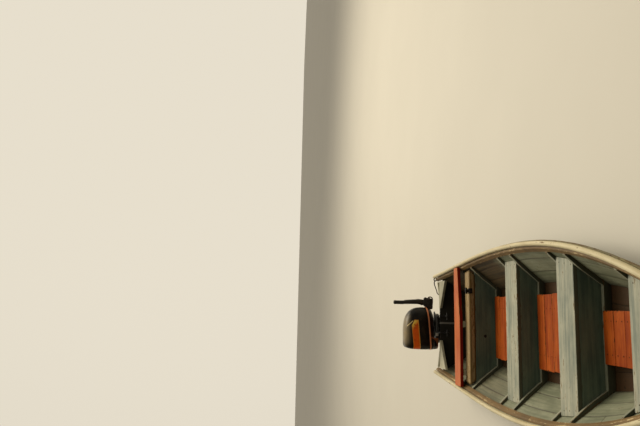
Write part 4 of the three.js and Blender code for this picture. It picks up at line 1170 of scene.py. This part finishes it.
# Tiller: a bracket with two round ears, the arm that folds up between them, two stiff throttle links, and a
# ribbed rubber grip.
PIVOT = np.array([0.222, 0.405])  # x and z
EAR_INNER, EAR_OUTER = 0.013, 0.024
ARM_LEVELS = [
    # up from the pivot, outboard, half thickness outboard, half width
    (0.0425, 0.004, 0.0255, 0.0120),
    (0.0450, 0.005, 0.0285, 0.0150),
    (0.0580, 0.007, 0.0295, 0.0190),
    (0.0780, 0.010, 0.0280, 0.0200),
    (0.1120, 0.009, 0.0255, 0.0200),
    (0.1700, 0.006, 0.0235, 0.0200),
    (0.2260, 0.003, 0.0222, 0.0198),
    (0.2322, 0.002, 0.0205, 0.0185),
]
ARM_WEB = 0.009
LOBE = (0.037, 0.002)  # outboard and up from the pivot
NUTS = ((0.0248, 0.0292), (-0.0248, -0.0292))  # both ends of each nut on the pivot's bolt
LINK_ROUTES = [
    # from the tiller's fork, out and down and in to the cowl
    [(0.243, 2.359, 0.389), (0.262, 2.350, 0.391), (0.280, 2.3475, 0.378), (0.283, 2.3475, 0.358),
     (0.271, 2.3475, 0.3420), (0.240, 2.349, 0.3370), (0.206, 2.351, 0.3405), (0.176, 2.356, 0.3510),
     (0.152, 2.362, 0.3600)],
    [(0.243, 2.401, 0.389), (0.257, 2.410, 0.389), (0.268, 2.4125, 0.374), (0.269, 2.4125, 0.355),
     (0.254, 2.4125, 0.3410), (0.226, 2.411, 0.3375), (0.198, 2.409, 0.3405), (0.172, 2.404, 0.3510),
     (0.150, 2.398, 0.3600)],
]
LINK_RADIUS = 0.0060
GRIP_RADIUS, RIB_DEPTH, RIBS = 0.0208, 0.0009, 17
RIBBED_MIDDLE, RIBBED_HALF = 0.46, 0.38  # shares of the grip's length
TOP_FROM, TOP_LENGTH, COLLAR_TO = 0.93, 0.075, 0.04  # shares too
COLLAR_DEPTH, GRIP_ASIDE, LEAST_RADIUS = 0.002, 0.001, 0.004


def at_pivot(circles):
    """The outline of a band drawn tight round circles (outboard, up, radius) that count from the pivot."""
    return band_round(circles) + PIVOT


def both_sides(half):
    """The two places along y that are half away from the tiller's middle."""
    return STEER_Y - half, STEER_Y + half


tiller_black = worn_metal("tiller_black", (24, 18, 14), (88, 50, 30), chipped=0.5, rough=0.45, metallic=0.1)
ear = at_pivot([(0.0, 0.0, 0.034), (0.032, -0.058, 0.013), (-0.050, -0.052, 0.020), (-0.062, -0.030, 0.012)])
root = at_pivot([(-0.056, -0.034, 0.012), (-0.050, -0.055, 0.014)])
shells = [plated(ear, STEER_Y + sign * EAR_INNER, STEER_Y + sign * EAR_OUTER) for sign in (1, -1)]
shells.append(plated(root, *both_sides(EAR_OUTER - 0.0005)))
make_piece("tiller_fork", shells, tiller_black, "motor", "tiller_bracket")
up, out, thick, wide = through(ARM_LEVELS, 40).T[..., None]
arm = points_of(
    PIVOT[0] + out + thick * np.sign(cosine) * np.abs(cosine) ** 0.8,
    STEER_Y + wide * np.sign(sine) * np.abs(sine) ** 0.8,
    PIVOT[1] + up,
)
hinge = at_pivot([(0.0, 0.0, 0.028), (*LOBE, 0.0205)])
gusset = at_pivot([(0.0, 0.0, 0.026), (0.018, 0.046, 0.0165), (-0.012, 0.046, 0.0165)])
make_piece("tiller_arm", [
    shell_of(arm),
    plated(hinge, *both_sides(ARM_WEB)),
    plated(gusset, *both_sides(ARM_WEB - 0.0004)),
    rod_between(PIVOT, 0.005, *both_sides(0.0286), axis=1),
    rod_between(PIVOT + LOBE, 0.0095, *both_sides(0.0105), axis=1, sides=6),
    *(rod_between(PIVOT, 0.0095, STEER_Y + near, STEER_Y + far, axis=1, sides=6) for near, far in NUTS),
], tiller_black, "tiller", "tiller_handle")
link_sleeve = worn_metal("link_sleeve", (40, 18, 14), (150, 96, 78), chipped=0.9, rough=0.45, metallic=0.1)
links = [tube_along(route, LINK_RADIUS) for route in LINK_ROUTES]
make_piece("throttle_links", links, link_sleeve, "motor")
grip_rubber = Finish("grip_rubber", Roughness=0.7)
wear = grip_rubber.noise(grip_rubber.place(), 60, detail=6, roughness=0.7)
rubber_black = wear.within(0.4, 0.75).tint((22, 20, 18), (62, 56, 46))
grip_rubber.feed(wear, 0.0003, Base_Color=rubber_black, Roughness=wear * 0.4 + 0.5)
low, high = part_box("tiller_grip")
z = np.linspace(low[2], high[2], 90)
along = (z - low[2]) / (high[2] - low[2])
ribs = RIB_DEPTH * np.sin(along * 2 * np.pi * RIBS) * (np.abs(along - RIBBED_MIDDLE) < RIBBED_HALF)
round_top = GRIP_RADIUS * np.sqrt(1 - np.clip((along - TOP_FROM) / TOP_LENGTH, 0, 1) ** 2)
radius = round_top - RIB_DEPTH + ribs - COLLAR_DEPTH * (along < COLLAR_TO)
radius = np.maximum(radius, LEAST_RADIUS)[:, None]
grip_x, grip_y = (low[0] + high[0]) / 2 - GRIP_ASIDE, (low[1] + high[1]) / 2
grip = points_of(grip_x + radius * cosine, grip_y + radius * sine, z[:, None])
make_piece("tiller_rubber", [shell_of(grip)], grip_rubber.material, "tiller", "tiller_grip",
           crisp=60)

# Engine block: one plain block of cast iron that stands on the lower cowl, out of sight in the upper one.
# It keeps the solid's own surface.
engine_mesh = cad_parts["engine_block"].data
engine_mesh.materials.clear()
engine_mesh.materials.append(worn_metal("engine_iron", (52, 50, 48), (110, 104, 96)))

# Nails: rusty heads over each frame on the outside, on the seats' ends and over the floor's bearers. They
# stand a little proud of the wood.
NAIL = 0.0042  # radius
WALE_FOOT = 0.86  # how far up the side the wale begins
STRAKE_NAILS = (0.14, 0.5, 0.84)  # shares of a strake's height
SEAT_NAILS, LAST_SEAT_NAIL = (0.045, 0.12), 0.03  # forward of the plank's aft edge, aft of its frame
SEAT_NAIL_IN, BEARER_NAIL_ASIDE = 0.04, 0.03
NAIL_RINGS = [
    # share of the radius, and how proud
    (1.0, -0.0015),
    (1.0, 0.0002),
    (0.7, 0.0006),
]
nail_turn = np.radians(np.arange(0, 360, 45))[:, None]


def nail_head(centre, outward):
    """A flat head of eight sides at centre, on rings across outward, the last of them smaller."""
    outward = np.asarray(outward, float) / np.linalg.norm(outward)
    aside = np.cross(outward, (0.0, 0.0, 1.0) if abs(outward[2]) < 0.9 else (1.0, 0.0, 0.0))
    aside /= np.linalg.norm(aside)
    flat = np.cos(nail_turn) * aside + np.sin(nail_turn) * np.cross(outward, aside)
    rings = [centre + flat * NAIL * share + outward * proud for share, proud in NAIL_RINGS]
    return shell_of(np.array(rings))


nail_rust = Finish("nail_rust", Roughness=0.9, Specular_IOR_Level=0.1)
rust = nail_rust.noise(nail_rust.place(), 300, detail=4)
nail_rust.feed(rust, 0.0003, Base_Color=rust.within(0.35, 0.7).tint((38, 24, 16), (96, 58, 34)))
shells = []
for node, s in FRAMES:
    u = (s + FRAME_SIDING / 2) / RAIL_LENGTH
    for low, high in ((0.0, LOWER_HEAD), (LOWER_HEAD, MIDDLE_HEAD), (MIDDLE_HEAD, WALE_FOOT)):
        for share in STRAKE_NAILS:
            up = low + (high - low) * share
            here, ahead = side_point(np.array([u, u + 0.01]), up)
            outward = np.cross(ahead - here, side_point(u, up + 0.02) - here)
            outward *= np.sign(outward[0])
            shells += [nail_head(here * (sign, 1, 1), outward * (sign, 1, 1)) for sign in (1, -1)]
for name, start, fore_frame, top, thick in SEATS[1:]:
    for s in (*(start + nail for nail in SEAT_NAILS), fore_frame - LAST_SEAT_NAIL):
        half = float(inside_half(s, top)) - SEAT_NAIL_IN
        shells += [nail_head((x, y_at(s), top - sag(x)), (0, 0, 1)) for x in (half, -half)]
for name, start, end, half in FLOOR_PANELS:
    for k in range(BOARDS):
        middle = y_at(start + (k + 0.5) * (end - start) / BOARDS)
        for x in (BEARER_OUT * half, -BEARER_OUT * half):
            for y in (middle - BEARER_NAIL_ASIDE, middle + BEARER_NAIL_ASIDE):
                shells.append(nail_head((x, y, BOARD_TOP + 0.0006), (0, 0, 1)))
make_piece("nail_heads", shells, nail_rust.material)

# Studio floor at the waterline, pale and far wider than the boat. Its opening has the hull's shape, and the
# opening's edge is hidden inside the planking.
OPENING_START, OPENING_END, TRANSOM_FOOT = 0.1, 4.36, 0.16  # s
FLOOR_REACH, FLOOR_STRETCH = 60.0, 3
s = np.linspace(OPENING_START, OPENING_END, 90)
half = inside_half(s, 0.0) + PLANK / 2
y = y_at(np.maximum(s, TRANSOM_FOOT))
edge = np.vstack([np.column_stack([half, y]), np.column_stack([-half, y])[::-1]])
away = np.linalg.norm(edge * (FLOOR_STRETCH, 1), axis=1, keepdims=True)
outer = edge / away * (FLOOR_REACH * FLOOR_STRETCH, FLOOR_REACH)
count = len(edge)
floor_points = [(x, y, 0.0) for x, y in np.vstack([edge, outer]).tolist()]
floor_faces = [(k, (k + 1) % count, (k + 1) % count + count, k + count) for k in range(count)]
floor_mesh = bpy.data.meshes.new("studio_floor")
floor_mesh.from_pydata(floor_points, [], floor_faces)
floor_pale = Finish("floor_pale", Roughness=0.6)
cloud = floor_pale.noise(floor_pale.place(), 0.6, detail=3)
floor_mesh.materials.append(floor_pale.feed(Base_Color=cloud.tint((204, 198, 184), (212, 206, 192))))
add_object("studio_floor", floor_mesh)
